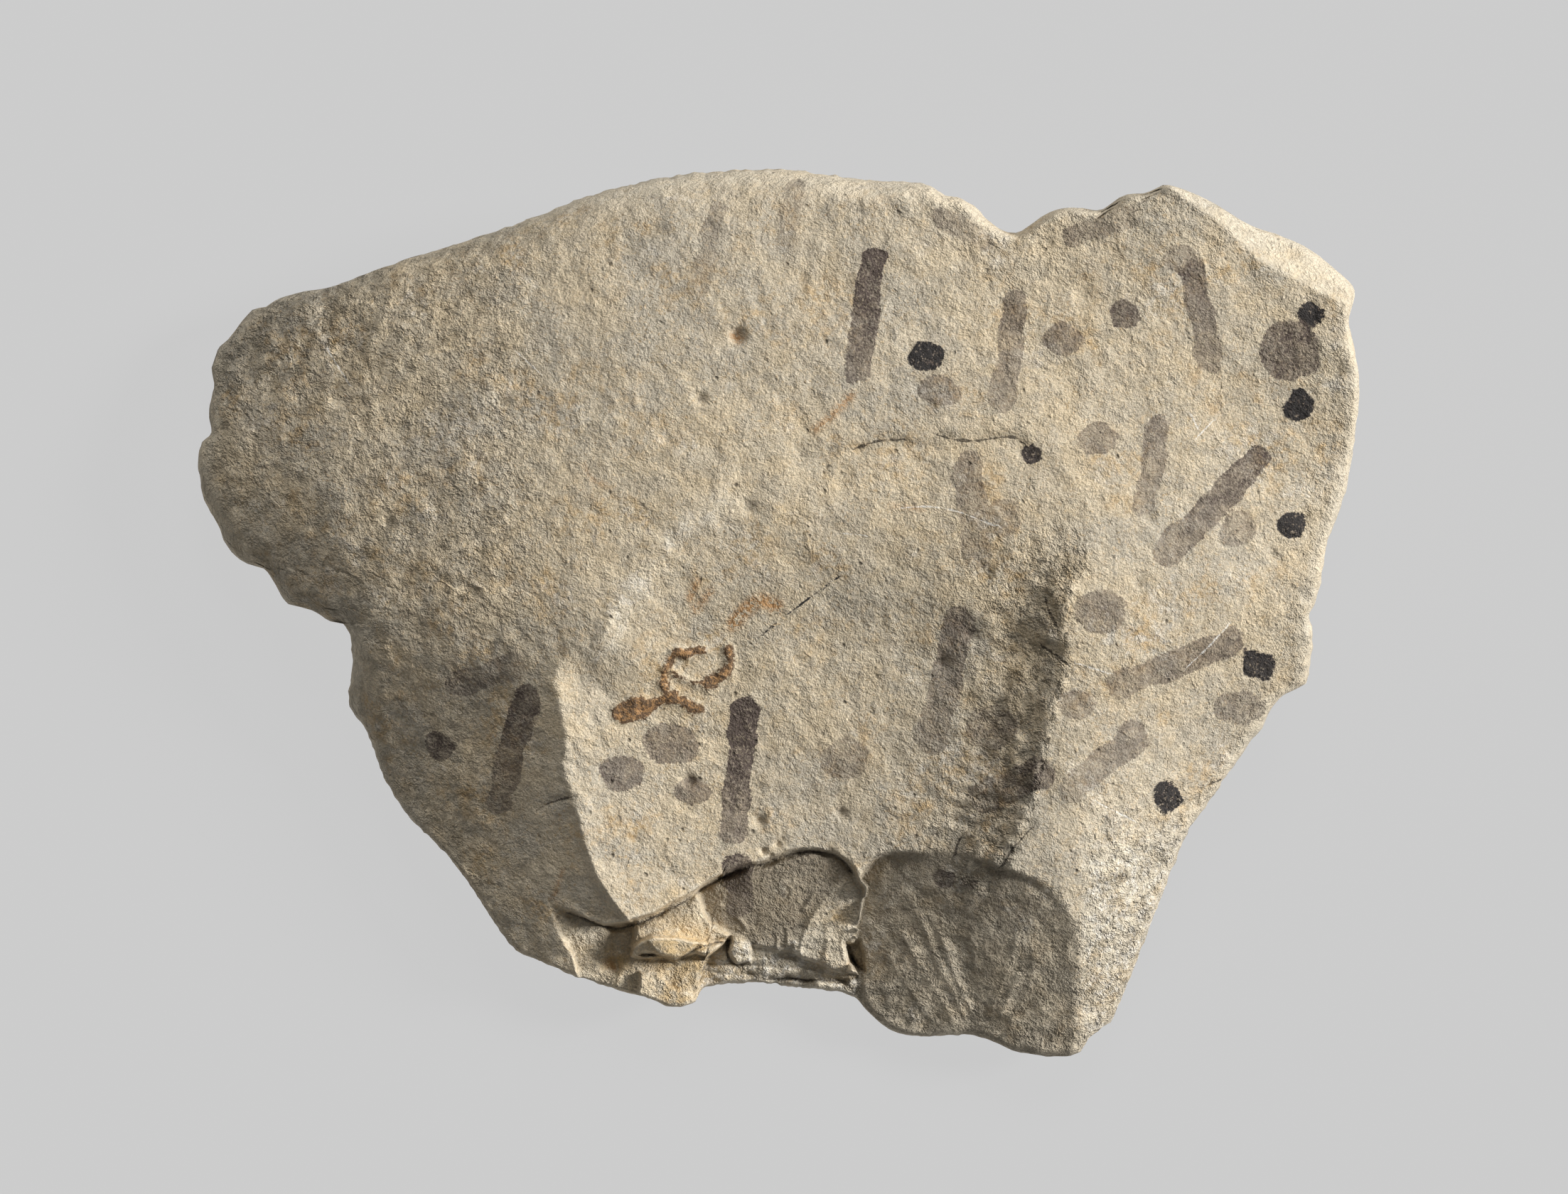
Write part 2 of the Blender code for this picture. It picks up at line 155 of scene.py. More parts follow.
# %% [markdown]
# ## The outline and the scars
# The rim is a chain of real points in millimetres, walked clockwise, with a smooth curve put through them. Every
# scar on the face is bounded by a crest, where two breaks meet. These crests are curves of the same kind. A crest is
# followed in the height of the surface, so the form stays right when it is seen from the side.

# %% Rim of the stone
THICKNESS = 31.0  # mm at the crown, near the top edge

# The rim seen from above, walked clockwise from the left end. Chips and notches have their own corners.
OUTLINE = [
    (-75.0, 20.1), (-74.4, 22.3), (-73.3, 23.7), (-73.6, 26.1), (-73.1, 29.8), (-73.2, 32.1), (-72.2, 34.9),
    (-70.1, 37.1), (-67.9, 39.7), (-66.6, 39.8), (-64.7, 40.9), (-61.4, 41.8), (-57.8, 42.5), (-54.1, 43.8),
    (-48.6, 45.7), (-43.1, 47.3), (-36.7, 49.4), (-30.3, 51.6), (-24.8, 53.8), (-19.3, 55.3), (-13.8, 56.5),
    (-8.3, 57.1), (-1.0, 57.4), (5.4, 56.9), (11.8, 56.0), (19.0, 55.4), (21.9, 54.0), (24.6, 53.2),
    (27.2, 50.8), (29.0, 49.4), (30.9, 48.9), (32.9, 50.1), (35.2, 51.6), (37.9, 52.1), (41.8, 51.8),
    (44.4, 53.6), (47.7, 53.9), (49.9, 54.9), (54.9, 53.2), (60.3, 50.1), (64.9, 48.5), (69.0, 46.5),
    (73.4, 42.8), (74.3, 40.9), (73.5, 37.5), (74.4, 33.4), (75.0, 29.3), (74.5, 22.4), (73.5, 16.0),
    (71.3, 9.6), (70.4, 4.1), (69.1, -0.3), (69.5, -2.7), (68.9, -8.2), (68.4, -9.2), (64.9, -11.4),
    (62.7, -15.3), (59.9, -19.0), (58.3, -21.5), (55.8, -25.0), (53.2, -29.0), (51.2, -33.9), (49.2, -38.9),
    (47.1, -44.4), (45.0, -49.7), (43.7, -52.8), (41.1, -55.0), (39.1, -57.2), (35.2, -57.5), (31.2, -56.9),
    (26.5, -55.0), (22.8, -54.8), (18.2, -55.0), (14.6, -54.0), (12.0, -51.7), (9.5, -49.6), (2.7, -48.6),
    (-3.3, -48.1), (-8.3, -48.4), (-9.8, -49.3), (-10.6, -50.7), (-13.4, -51.1), (-17.0, -49.8), (-21.2, -48.6),
    (-26.2, -47.0), (-30.3, -45.2), (-33.8, -43.6), (-36.5, -40.0), (-39.5, -35.4), (-42.2, -31.8),
    (-45.1, -28.9), (-48.2, -25.6), (-50.9, -21.1), (-53.2, -14.9), (-55.1, -12.6), (-55.5, -9.8),
    (-54.9, -6.4), (-55.2, -3.2), (-56.0, -1.3), (-57.8, -0.9), (-60.5, 0.7), (-63.3, 1.3), (-65.3, 4.6),
    (-66.6, 6.0), (-68.3, 6.4), (-70.8, 8.2), (-72.6, 11.8), (-74.3, 14.9), (-74.8, 17.9),
]

# %% Distances to curves
def curve_through(points, steps=6, closed=False):
    """A smooth curve through the points, as an array with this many steps in each span."""
    points = np.array(points, float)
    if closed:
        around = np.vstack([points[-1:], points, points[:2]])
    else:
        around = np.vstack([2 * points[0] - points[1], points, 2 * points[-1] - points[-2]])
    t = np.linspace(0, 1, steps, endpoint=False)[:, None]
    spans = []
    for a, b, c, d in zip(around, around[1:], around[2:], around[3:]):
        bend = (2 * a - 5 * b + 4 * c - d) * t**2 + (3 * b - a - 3 * c + d) * t**3
        spans.append(0.5 * (2 * b + (c - a) * t + bend))
    curve = np.vstack(spans)
    return curve if closed else np.vstack([curve, points[-1:]])


def distance_to(x, y, line):
    """Distance to an open line, and which side: positive on the left of someone walking along it."""
    nearest = np.full(x.shape, np.inf)
    side = np.zeros(x.shape)
    for (ax, ay), (bx, by) in zip(line, line[1:]):
        dx, dy = bx - ax, by - ay
        t = np.clip(((x - ax) * dx + (y - ay) * dy) / (dx * dx + dy * dy), 0, 1)
        away = np.hypot(x - ax - t * dx, y - ay - t * dy)
        closer = away < nearest
        nearest = np.where(closer, away, nearest)
        side = np.where(closer, dx * (y - ay) - dy * (x - ax), side)
    return nearest, np.sign(side)


def inside(x, y, outline):
    """True where a point is within the closed outline."""
    within = np.zeros(x.shape, bool)
    for (ax, ay), (bx, by) in zip(outline, np.roll(outline, -1, axis=0)):
        if ay == by:
            continue
        crosses = (ay > y) != (by > y)
        within ^= crosses & (x < ax + (bx - ax) * (y - ay) / (by - ay))
    return within


def depth_within(x, y, outline):
    """Distance inside a closed outline: positive within, negative outside."""
    away, _ = distance_to(x, y, np.vstack([outline, outline[:1]]))
    return np.where(inside(x, y, np.asarray(outline)), away, -away)


def ease(t):
    t = np.clip(t, 0, 1)
    return t * t * (3 - 2 * t)


def ramp(distance, soft):
    """Zero before the line, rising one for one after it, with a bend this soft."""
    return 0.5 * (distance + np.hypot(distance, soft))


def settle(distance, reach):
    """Rises from 0 at the line to nearly 1 a few reaches away."""
    return 1 - np.exp(-np.clip(distance, 0, None) / reach)


RIM = curve_through(OUTLINE, closed=True)
print("points on the rim:", len(RIM))

# %% [markdown]
# ## Repeatable irregularity
# Stone is never smooth, but the same stone has to come out each time. A small whole-number hash gives every corner of
# a grid its own fixed value. Waves blend those values softly. Breaks give each cell a small tilted face instead,
# which is how hammered limestone looks.

# %% Waves and breaks
def lattice(column, row, seed):
    """A repeatable value from -1 to 1 for each whole-numbered corner."""
    h = (column * 374761393 + row * 668265263 + seed * 974634777) & 0xFFFFFFFF
    h = ((h ^ (h >> 13)) * 1274126177) & 0xFFFFFFFF
    return ((h ^ (h >> 16)) & 0xFFFF) / 32767.5 - 1


def waves(x, y, size, seed):
    """Smooth irregular waves from about -1 to 1, with humps about this many millimetres across."""
    turn = 0.6 + 1.3 * seed
    u = (x * math.cos(turn) - y * math.sin(turn)) / size
    v = (x * math.sin(turn) + y * math.cos(turn)) / size
    column, row = np.floor(u).astype(np.int64), np.floor(v).astype(np.int64)
    s, t = ease(u - column), ease(v - row)
    low = lattice(column, row, seed) * (1 - s) + lattice(column + 1, row, seed) * s
    high = lattice(column, row + 1, seed) * (1 - s) + lattice(column + 1, row + 1, seed) * s
    return low * (1 - t) + high * t


def breaks(x, y, size, seed):
    """Small tilted faces about this many millimetres across, from about -0.5 to 0.5."""
    column, row = np.floor(x / size).astype(np.int64), np.floor(y / size).astype(np.int64)
    total, weight = np.zeros(x.shape), np.full(x.shape, 1e-9)
    for i in (-1, 0, 1):
        for j in (-1, 0, 1):
            c, r = column + i, row + j
            dx = x / size - c - 0.5 - 0.45 * lattice(c, r, seed)
            dy = y / size - r - 0.5 - 0.45 * lattice(c, r, seed + 1)
            share = np.exp(-9 * (dx * dx + dy * dy))
            total = total + share * (lattice(c, r, seed + 2) * dx + lattice(c, r, seed + 3) * dy)
            weight = weight + share
    return total / weight


sample = np.linspace(-60, 60, 2001)
swing = waves(sample, 0.7 * sample, 8, 1)
print("waves from", swing.min().round(2), "to", swing.max().round(2))

# %% Crests of the scars
# Crest on the left of the middle hollow, from its top corner down to its foot.
LEFT_CREST = curve_through([
    (4.0, 20.6), (-2.9, 18.6), (-9.0, 13.6), (-13.0, 8.9), (-16.8, 5.0), (-19.9, 0.6), (-22.1, -3.6),
    (-25.5, -4.9), (-27.7, -7.8), (-27.3, -12.1), (-26.6, -15.6), (-26.9, -19.7), (-25.9, -23.2),
    (-25.0, -26.1), (-24.3, -29.3), (-22.8, -33.4), (-20.6, -36.9), (-18.3, -39.7),
])
# Crest on its right.
RIGHT_CREST = curve_through([
    (32.1, 21.7), (36.0, 18.3), (38.6, 14.9), (39.1, 11.6), (38.9, 6.7), (36.9, 2.1), (36.2, -1.4),
    (36.9, -6.4), (35.6, -10.8), (34.2, -15.8), (33.5, -19.2), (32.1, -25.2), (29.3, -31.9),
])
# The thin step where the hollow's flake snapped off.
SNAP_LINE = curve_through([
    (4.0, 20.6), (6.4, 21.0), (10.5, 21.7), (15.5, 22.1), (20.1, 22.5), (21.9, 22.7), (24.5, 22.1),
    (28.1, 22.4), (31.1, 22.0), (32.1, 21.7),
])
# The scallop struck from the bottom edge: its crest runs over the top and down the right side.
SCALLOP_CREST = curve_through([
    (10.7, -33.6), (11.8, -32.0), (13.2, -30.8), (15.7, -30.4), (19.1, -30.4), (22.8, -30.4), (25.5, -30.8),
    (28.3, -32.0), (30.6, -32.7), (33.1, -33.7), (35.6, -35.3), (37.6, -37.1), (38.9, -39.2), (39.5, -42.1),
    (39.4, -47.2), (39.3, -52.7), (39.3, -60.0),
])
SCALLOP_LEFT = [
    (10.4, -60.0), (10.4, -50.0), (9.1, -47.7), (10.9, -47.0), (9.6, -44.6), (9.1, -42.8), (10.4, -42.4),
    (10.6, -40.3), (11.1, -37.8), (11.9, -35.3),
]
# Inner edge of the bevel at the upper right corner.
BEVEL_EDGE = curve_through([
    (49.9, 56.5), (49.9, 54.9), (52.1, 52.7), (54.9, 50.8), (57.1, 49.2), (59.9, 46.4), (62.2, 44.6),
    (64.9, 43.2), (67.7, 41.7), (70.4, 40.3), (73.6, 38.7), (77.0, 37.0),
])
# A small scar against the foot of the left crest.
NICK = [
    (-30.3, -25.2), (-27.6, -24.8), (-25.3, -24.1), (-24.3, -29.3), (-22.8, -33.4), (-20.6, -36.9),
    (-18.3, -39.7), (-22.1, -40.8), (-23.9, -40.0), (-26.2, -38.5), (-28.3, -37.3), (-29.2, -34.3),
    (-29.8, -31.1), (-29.6, -27.9),
]
# The hollow runs on to the rim, under the ledges and the scallop that cut deeper than it does.
HOLLOW = np.vstack([LEFT_CREST[::-1], SNAP_LINE[1:], RIGHT_CREST[1:], [(31.0, -62.0), (-22.0, -62.0)]])
SCALLOP = np.vstack([SCALLOP_CREST, SCALLOP_LEFT])
print("length of the left crest in mm:", round(float(np.hypot(*np.diff(LEFT_CREST, axis=0).T).sum())))

# %% [markdown]
# ## The broad form of the face
# The upper face is a plateau near the top edge that falls away to the left and to the bottom. On it sit the middle
# hollow, the shell-shaped scar at the lower edge, a small nick beside the left crest and the bevel at the upper right.
# Each one is a height or a drop in height at a point, so they can simply be added up.

# %% Broad scars
SCAR_MIDDLE = (26.0, -44.0)  # mm, the middle of the shell-shaped scar
SCAR_HEIGHT = 12.6  # mm, there
SCAR_STEP = 0.8  # mm, the width of the step down at its crest


def crown(x, y):
    """The broad form of the face: a plateau that falls away to the left, the bottom and the lower right."""
    fall_left = 0.35 * ramp(-24 - x, 26) + 0.06 * ramp(-54 - x, 4)
    fall_top = 0.30 * ramp(-0.28 * x + 0.96 * y - 41, 9)
    fall_down = 0.23 * ramp(4 - y, 12) * (1 - 0.5 * ease((x - 28) / 26))
    fall_right = (0.12 + 0.08 * ease((36 - y) / 20) + 0.77 * ease((6 - y) / 44)) * ramp(x - 38, 5)
    fall_tip = 0.40 * ramp(-36 - y, 5) * ease((x - 20) / 16)
    fall_lobe = 0.30 * ramp(-0.6 * x - 0.8 * y - 29, 2.5) * ease((-50 - x) / 8)
    rise_peak = 0.18 * ramp(0.6 * x + 0.8 * y - 54, 8)
    z = THICKNESS - fall_left - fall_top - fall_down - fall_right - fall_tip - fall_lobe + rise_peak
    return z + 0.45 * waves(x, y, 17, 1) + 0.22 * waves(x, y, 8, 2)


def left_face(x, y):
    """How far the face left of the left crest drops below the crown."""
    away, side = distance_to(x, y, LEFT_CREST)
    drop = 0.29 * away - ramp(0.29 * away - 0.45 * ramp(-5 - y, 5), 1.5)
    return np.where(side < 0, drop * ease((3 - y) / 6), 0)


def hollow(x, y):
    """How far the middle hollow is sunk: gently at its top, with a steeper wall under the right crest."""
    left, _ = distance_to(x, y, LEFT_CREST)
    right, _ = distance_to(x, y, RIGHT_CREST)
    top, _ = distance_to(x, y, SNAP_LINE)
    deep = 2.0 + 4.5 * ease((16 - y) / 22)
    sunk = deep * settle(left, 13) * settle(right, 10) * settle(top, 12)
    snapped = 0.45 * ease(top / 0.8) * np.exp(-top / 8)
    return np.where(inside(x, y, HOLLOW), sunk + snapped, 0)


def scalloped(x, y, z):
    """Cuts the shell-shaped scar, a dished face that looks down the stone and a little to the left."""
    away, _ = distance_to(x, y, SCALLOP_CREST)
    u, v = x - SCAR_MIDDLE[0], y - SCAR_MIDDLE[1]
    scar = SCAR_HEIGHT + 0.235 * u + 0.48 * v - 0.003 * u**2 + 0.006 * u * v
    return np.where(inside(x, y, SCALLOP), z + (scar - z) * ease(away / SCAR_STEP), z)


def nick(x, y):
    within = depth_within(x, y, NICK)
    return np.where(within > 0, np.clip(0.13 * (x + 30), 0, 1.4) * ease(within / 1.5), 0)


def bevel(x, y):
    """The steep facet outside the bevel's inner edge."""
    away, side = distance_to(x, y, BEVEL_EDGE)
    return np.where(side > 0, 0.95 * away, 0)


spots = np.array([(0.0, 30.0), (5.0, -10.0), (25.0, -45.0), (-60.0, 20.0)]).T
print("height of four spots in mm:", (crown(*spots) - hollow(*spots)).round(1))

# %% [markdown]
# ## Broken ledges
# Under the lip the stone came off in layers. Each ledge is a tilted plane inside its own ragged outline. All ledges
# are cut together, so no thin fin is left standing between two of them. A few loose-looking blocks are added back.

# %% Ledges and blocks
STEP_WIDTH = 0.6  # of the broken edges between ledges
RAGGED = 0.35  # how far those edges wander
# Broken ledges under the lip. Each has its outline, its height in the middle, its rise along X and Y, and
# perhaps how much it bows along X.
LEDGES = [
    # a pale ledge just under the left end of the lip
    ([(-18.2, -39.6), (-15.7, -39.0), (-12.9, -37.4), (-10.3, -35.9), (-9.7, -37.1), (-9.0, -38.9),
      (-7.9, -40.1), (-6.0, -41.6), (-6.7, -42.1), (-10.2, -42.0), (-12.9, -41.4), (-15.7, -41.3), (-17.5, -41.9),
      (-18.6, -42.6)], 12.8, -0.10, 0.30),
    # the tongue, and the pale block at its right end
    ([(-10.3, -35.9), (-8.3, -34.6), (-6.0, -33.4), (-3.8, -32.5), (-1.2, -31.9), (1.1, -31.2), (3.4, -30.7),
      (5.4, -30.5), (7.4, -30.8), (8.7, -31.7), (9.8, -33.0), (11.1, -35.3), (10.7, -37.5), (10.4, -42.6),
      (9.3, -42.7), (9.5, -44.9), (8.8, -46.5), (6.8, -45.8), (3.6, -44.6), (0.8, -43.3), (-3.1, -42.6),
      (-6.0, -41.6), (-7.9, -40.1), (-9.0, -38.9), (-9.7, -37.1)], 12.2, 0.02, 0.42, 0.005),
    # the bedding layers above the bottom rim
    ([(-6.0, -41.7), (-3.1, -42.6), (0.8, -43.3), (2.7, -41.7), (3.6, -44.4), (6.8, -45.8), (8.8, -46.5),
      (10.7, -46.9), (10.9, -49.9), (7.7, -50.1), (0.8, -49.9), (-4.7, -49.7), (-9.7, -50.1), (-9.9, -47.2),
      (-8.8, -44.4), (-6.5, -42.6)], 7.0, 0.0, 0.45),
    # a low facet over the bottom rim
    ([(-20.0, -45.3), (-18.6, -44.0), (-17.5, -44.4), (-12.7, -44.7), (-10.2, -44.0), (-8.8, -44.4),
      (-9.9, -47.2), (-9.7, -50.1), (-10.4, -52.0), (-15.2, -52.0), (-17.5, -50.1), (-21.2, -49.0)],
     8.3, -0.10, 0.32),
    # the broken ground below the left crest's foot
    ([(-28.7, -38.0), (-24.8, -39.4), (-22.1, -40.5), (-18.2, -39.8), (-18.6, -42.6), (-18.6, -44.0),
      (-20.0, -45.3), (-21.2, -49.0), (-24.8, -49.0), (-25.7, -44.0), (-27.6, -40.3)], 10.4, -0.12, 0.35),
    # the notch beside the scallop
    ([(9.3, -42.7), (10.7, -42.4), (11.0, -44.4), (11.1, -46.2), (9.5, -44.9)], 6.0, 0.0, 0.3),
]
TONGUE, BEDDING = [np.array(LEDGES[place][0]) for place in (1, 2)]
# Blocks left standing on the ledges, in the same form.
BLOCKS = [
    # a wedge, split from the layer under it
    ([(-18.4, -42.6), (-15.7, -41.3), (-12.9, -41.4), (-10.2, -42.0), (-6.7, -42.1), (-9.2, -43.1),
      (-11.1, -43.7), (-12.7, -44.7), (-15.2, -44.6), (-17.5, -44.4), (-18.6, -44.0)], 12.4, -0.12, 0.22),
    # the knob at the bottom left
    ([(-17.5, -46.2), (-14.7, -46.7), (-12.9, -48.5), (-10.2, -49.0), (-9.9, -52.0), (-15.2, -52.0),
      (-16.6, -50.8), (-17.9, -49.0)], 8.9, -0.30, 0.12),
    # a small square block
    ([(-5.8, -41.7), (-4.4, -41.5), (-3.1, -42.6), (-3.3, -45.3), (-5.1, -45.4), (-6.0, -44.0)],
     10.0, -0.15, 0.15),
    # a bright sliver at the rim
    ([(4.9, -46.9), (9.1, -47.5), (10.9, -46.9), (10.0, -50.1), (5.4, -49.2)], 6.9, -0.20, 0.10),
]


def depth_in_ledges(x, y, ledges=LEDGES):
    """Distance inside each ledge, negative outside it, one row for each."""
    return np.array([depth_within(x, y, np.array(ledge[0])) for ledge in ledges])


def plane_at(x, y, outline, height, along_x, along_y, bow=0.0):
    middle = np.mean(outline, axis=0)
    dx, dy = x - middle[0], y - middle[1]
    return height + along_x * dx + along_y * dy - bow * dx**2


def broken(x, y, z):
    """Cuts the ledges, then raises the blocks that were left standing on them."""
    x, y = x + RAGGED * waves(x, y, 2.6, 11), y + RAGGED * waves(x, y, 2.6, 12)
    depth = depth_in_ledges(x, y)
    share = np.exp(np.clip((depth - depth.max(axis=0)) / 0.2, -30, 0))
    floor = sum(part * plane_at(x, y, *ledge) for part, ledge in zip(share, LEDGES)) / share.sum(axis=0)
    z = z - np.clip(z - floor, 0, None) * ease(1 + depth.max(axis=0) / STEP_WIDTH)
    for block in BLOCKS:
        within = ease(0.5 + depth_within(x, y, np.array(block[0])) / STEP_WIDTH)
        z = z + np.clip(plane_at(x, y, *block) - z, 0, None) * within
    return z


print("ledges:", len(LEDGES), "blocks:", len(BLOCKS))

# %% [markdown]
# ## Relief of a millimetre or more
# Relief that is wide enough for the mesh is made as real shape, because it changes the shadows and the outline. It
# is rough along the rims and beside the right crest, rippled on the bright strip by the left crest, and it spreads
# like a shell in the scar at the lower edge.

# %% Lines of relief
SNAP_EDGE = curve_through([
    (2.2, 20.9), (6.3, 21.1), (10.0, 21.1), (14.1, 22.0), (19.1, 21.5), (21.0, 22.7), (25.1, 22.3),
    (28.3, 22.4), (32.0, 21.8),
])
VEINS = [  # raised iron veins: half their width and the points they pass
    (1.5, [(-19.4, -12.5), (-18.4, -12.2), (-17.2, -11.9)]),
    (0.8, [(-17.2, -12.1), (-15.4, -11.3), (-13.0, -10.4)]),
    (0.5, [(-13.4, -10.5), (-11.8, -11.0), (-10.6, -11.9), (-9.5, -12.3)]),
    (0.45, [(-13.9, -10.3), (-14.3, -7.8), (-13.6, -6.2), (-13.2, -5.2), (-12.2, -4.5)]),
    (0.6, [(-12.4, -4.7), (-11.3, -5.0), (-10.3, -4.6), (-9.2, -4.6)]),
    (0.3, [(-13.1, -7.3), (-11.5, -8.3), (-9.7, -8.7), (-7.6, -8.6)]),
    (0.7, [(-8.6, -8.8), (-7.2, -8.2), (-6.3, -7.2)]),
    (0.5, [(-6.3, -7.2), (-5.7, -6.0), (-6.0, -4.5)]),
]
CRACKS = [
    [(20.6, 22.9), (23.0, 22.3), (25.6, 22.2), (29.7, 22.7), (31.5, 21.9)],
    [(10.3, 21.3), (13.4, 22.2), (16.0, 22.3)],
    [(29.2, -32.1), (30.6, -29.8), (32.6, -27.5)],
    [(23.1, -30.6), (23.4, -29.4), (23.9, -28.5)],
    [(56.2, -21.8), (57.6, -21.3), (59.0, -21.4)],
    [(34.4, 2.2), (34.9, 0.4), (36.0, -1.6)],
    [(34.2, -4.0), (35.6, -5.0), (37.0, -6.1)],
    [(-30.3, -24.9), (-28.6, -24.0), (-26.2, -23.4)],
]
# The gaps are grooves in the form, and the finish darkens them with painted shade.
GAPS = [  # deep dark gaps, under the lip and between the ledges
    [(-26.6, -38.6), (-24.4, -39.4), (-22.1, -40.3), (-20.5, -40.6), (-18.3, -40.1), (-15.7, -39.1),
     (-13.4, -37.9), (-11.4, -36.8), (-10.1, -35.9), (-8.1, -34.7), (-6.3, -33.7), (-3.8, -32.7), (-1.2, -32.1),
     (1.1, -31.2), (3.4, -30.7), (5.4, -30.6), (7.4, -30.9), (8.7, -31.8), (9.6, -33.0)],
    [(-17.2, -44.0), (-15.7, -44.0), (-13.9, -44.5), (-12.7, -44.7), (-11.4, -43.9), (-9.9, -43.0),
     (-8.1, -42.5), (-6.3, -42.3)],
    [(-6.0, -42.3), (-6.3, -43.7), (-5.9, -44.9), (-4.8, -45.5), (-3.5, -45.0)],
    [(9.2, -42.6), (9.5, -43.9), (10.1, -45.0), (10.9, -46.2)],
    [(-3.5, -46.4), (-2.2, -47.1), (-0.2, -47.4), (1.8, -47.2), (3.9, -47.5), (5.9, -47.4), (9.0, -47.7)],
]
RIBS = [  # half their width, their height and the points they pass, on the tongue
    (0.4, 0.35, [(4.2, -40.2), (5.3, -38.4), (6.5, -36.9), (8.7, -34.6)]),
    (0.22, 0.25, [(3.6, -38.2), (4.8, -36.4)]),
    (0.25, 0.22, [(1.4, -43.6), (1.6, -42.0), (1.5, -40.6)]),
    (0.18, 0.2, [(0.2, -43.0), (0.3, -41.8)]),
    (0.28, 0.25, [(3.3, -44.2), (3.4, -42.4), (3.9, -41.0)]),
    (0.22, 0.2, [(2.4, -44.0), (2.5, -42.8)]),
    (0.35, 0.25, [(6.2, -44.8), (6.6, -43.4), (6.8, -42.2)]),
    (0.3, 0.25, [(-8.6, -38.2), (-7.0, -37.6)]),
    (0.25, 0.2, [(8.9, -44.6), (8.6, -42.4), (9.4, -40.2)]),
    (0.3, 0.2, [(-4.9, -39.2), (-3.6, -40.6)]),
]
PITS = [  # where each one is, its radius and its depth
    (-1.5, -30.5, 0.5, 0.6), (0.3, -29.5, 0.5, 0.5), (-0.5, -31.2, 0.4, 0.5), (1.0, -28.9, 0.35, 0.4),
    (-11.1, -21.3, 0.9, 0.7), (-18.2, -28.8, 0.7, 0.4), (-4.9, 35.4, 1.1, 0.9), (-21.3, -45.3, 1.2, 0.9),
    (-38.4, 3.0, 0.8, 0.4), (-30.6, -17.5, 0.9, 0.4), (8.5, -25.5, 0.7, 0.5), (-2.0, -26.6, 0.8, 0.6),
    (25.0, -2.5, 0.9, 0.5), (21.5, -6.0, 0.8, 0.5), (47.5, 12.5, 0.8, 0.5), (46.0, 4.0, 0.6, 0.4),
    (63.5, 7.6, 0.7, 0.4), (-9.5, 27.5, 0.8, 0.5), (-34.5, 27.0, 0.8, 0.4), (-49.6, 12.0, 0.7, 0.4),
    (-3.5, 13.5, 0.9, 0.4), (13.5, -1.2, 0.8, 0.35), (54.3, -14.0, 0.8, 0.4), (38.8, 40.5, 0.8, 0.35),
]
FAN_LINES = [  # faint ribs that spread up the shell-shaped scar, in the same form as the ribs
    (0.5, 0.16, [(16.6, -41.5), (18.6, -45.5), (21.2, -49.5), (23.6, -53.0)]),
    (0.45, 0.1, [(14.6, -44.0), (17.4, -48.5), (20.4, -52.6)]),
    (0.35, 0.18, [(19.0, -39.5), (20.6, -44.0), (22.8, -48.5), (24.6, -52.4)]),
    (0.28, 0.2, [(21.2, -41.0), (22.4, -44.0), (24.0, -48.6), (25.9, -52.2)]),
    (2.0, -0.3, [(23.0, -39.0), (25.0, -46.0), (26.2, -53.5)]),
    (0.3, 0.12, [(25.2, -40.0), (25.8, -45.0), (26.6, -50.0)]),
    (0.28, 0.2, [(31.2, -41.6), (30.0, -45.6), (28.6, -49.4), (27.8, -52.2)]),
    (0.32, 0.3, [(31.4, -46.5), (30.2, -49.4), (29.0, -52.0)]),
    (0.3, 0.14, [(33.5, -44.0), (32.6, -48.5), (30.6, -52.5)]),
]


def nearest_line(x, y, lines):
    """Distance to the nearest of several lines, and the side of that line."""
    near, sided = np.full(x.shape, np.inf), np.zeros(x.shape)
    for line in lines:
        away, side = distance_to(x, y, curve_through(line, steps=4))
        sided = np.where(away < near, side, sided)
        near = np.minimum(near, away)
    return near, sided


print("veins:", len(VEINS), "cracks:", len(CRACKS), "pits:", len(PITS))

# %% Rough bands
def along(x, y, line, reach, left):
    """From 1 on a line down to 0 beyond this reach, on one side of it only."""
    away, side = distance_to(x, y, line)
    return np.where((side > 0) == left, np.exp(-(away / reach) ** 2), np.exp(-(away / 0.6) ** 2))


def roughness(x, y, to_rim):
    """How hackly the face is at each point, from about 0.5 on the plain face to 2 on the rough bands."""
    right_band = along(x, y, RIGHT_CREST, 9.0, left=False) * ease((14 - y) / 12)
    low_right = ease((x - 38) / 5) * ease((-18 - y) / 14)
    left_end = ease((-46 - x) / 14) * ease((y - 22) / 14)
    rim = np.exp(-to_rim / 4.0)
    return 0.55 + 1.1 * right_band + 0.9 * low_right + 0.8 * left_end + 0.5 * rim


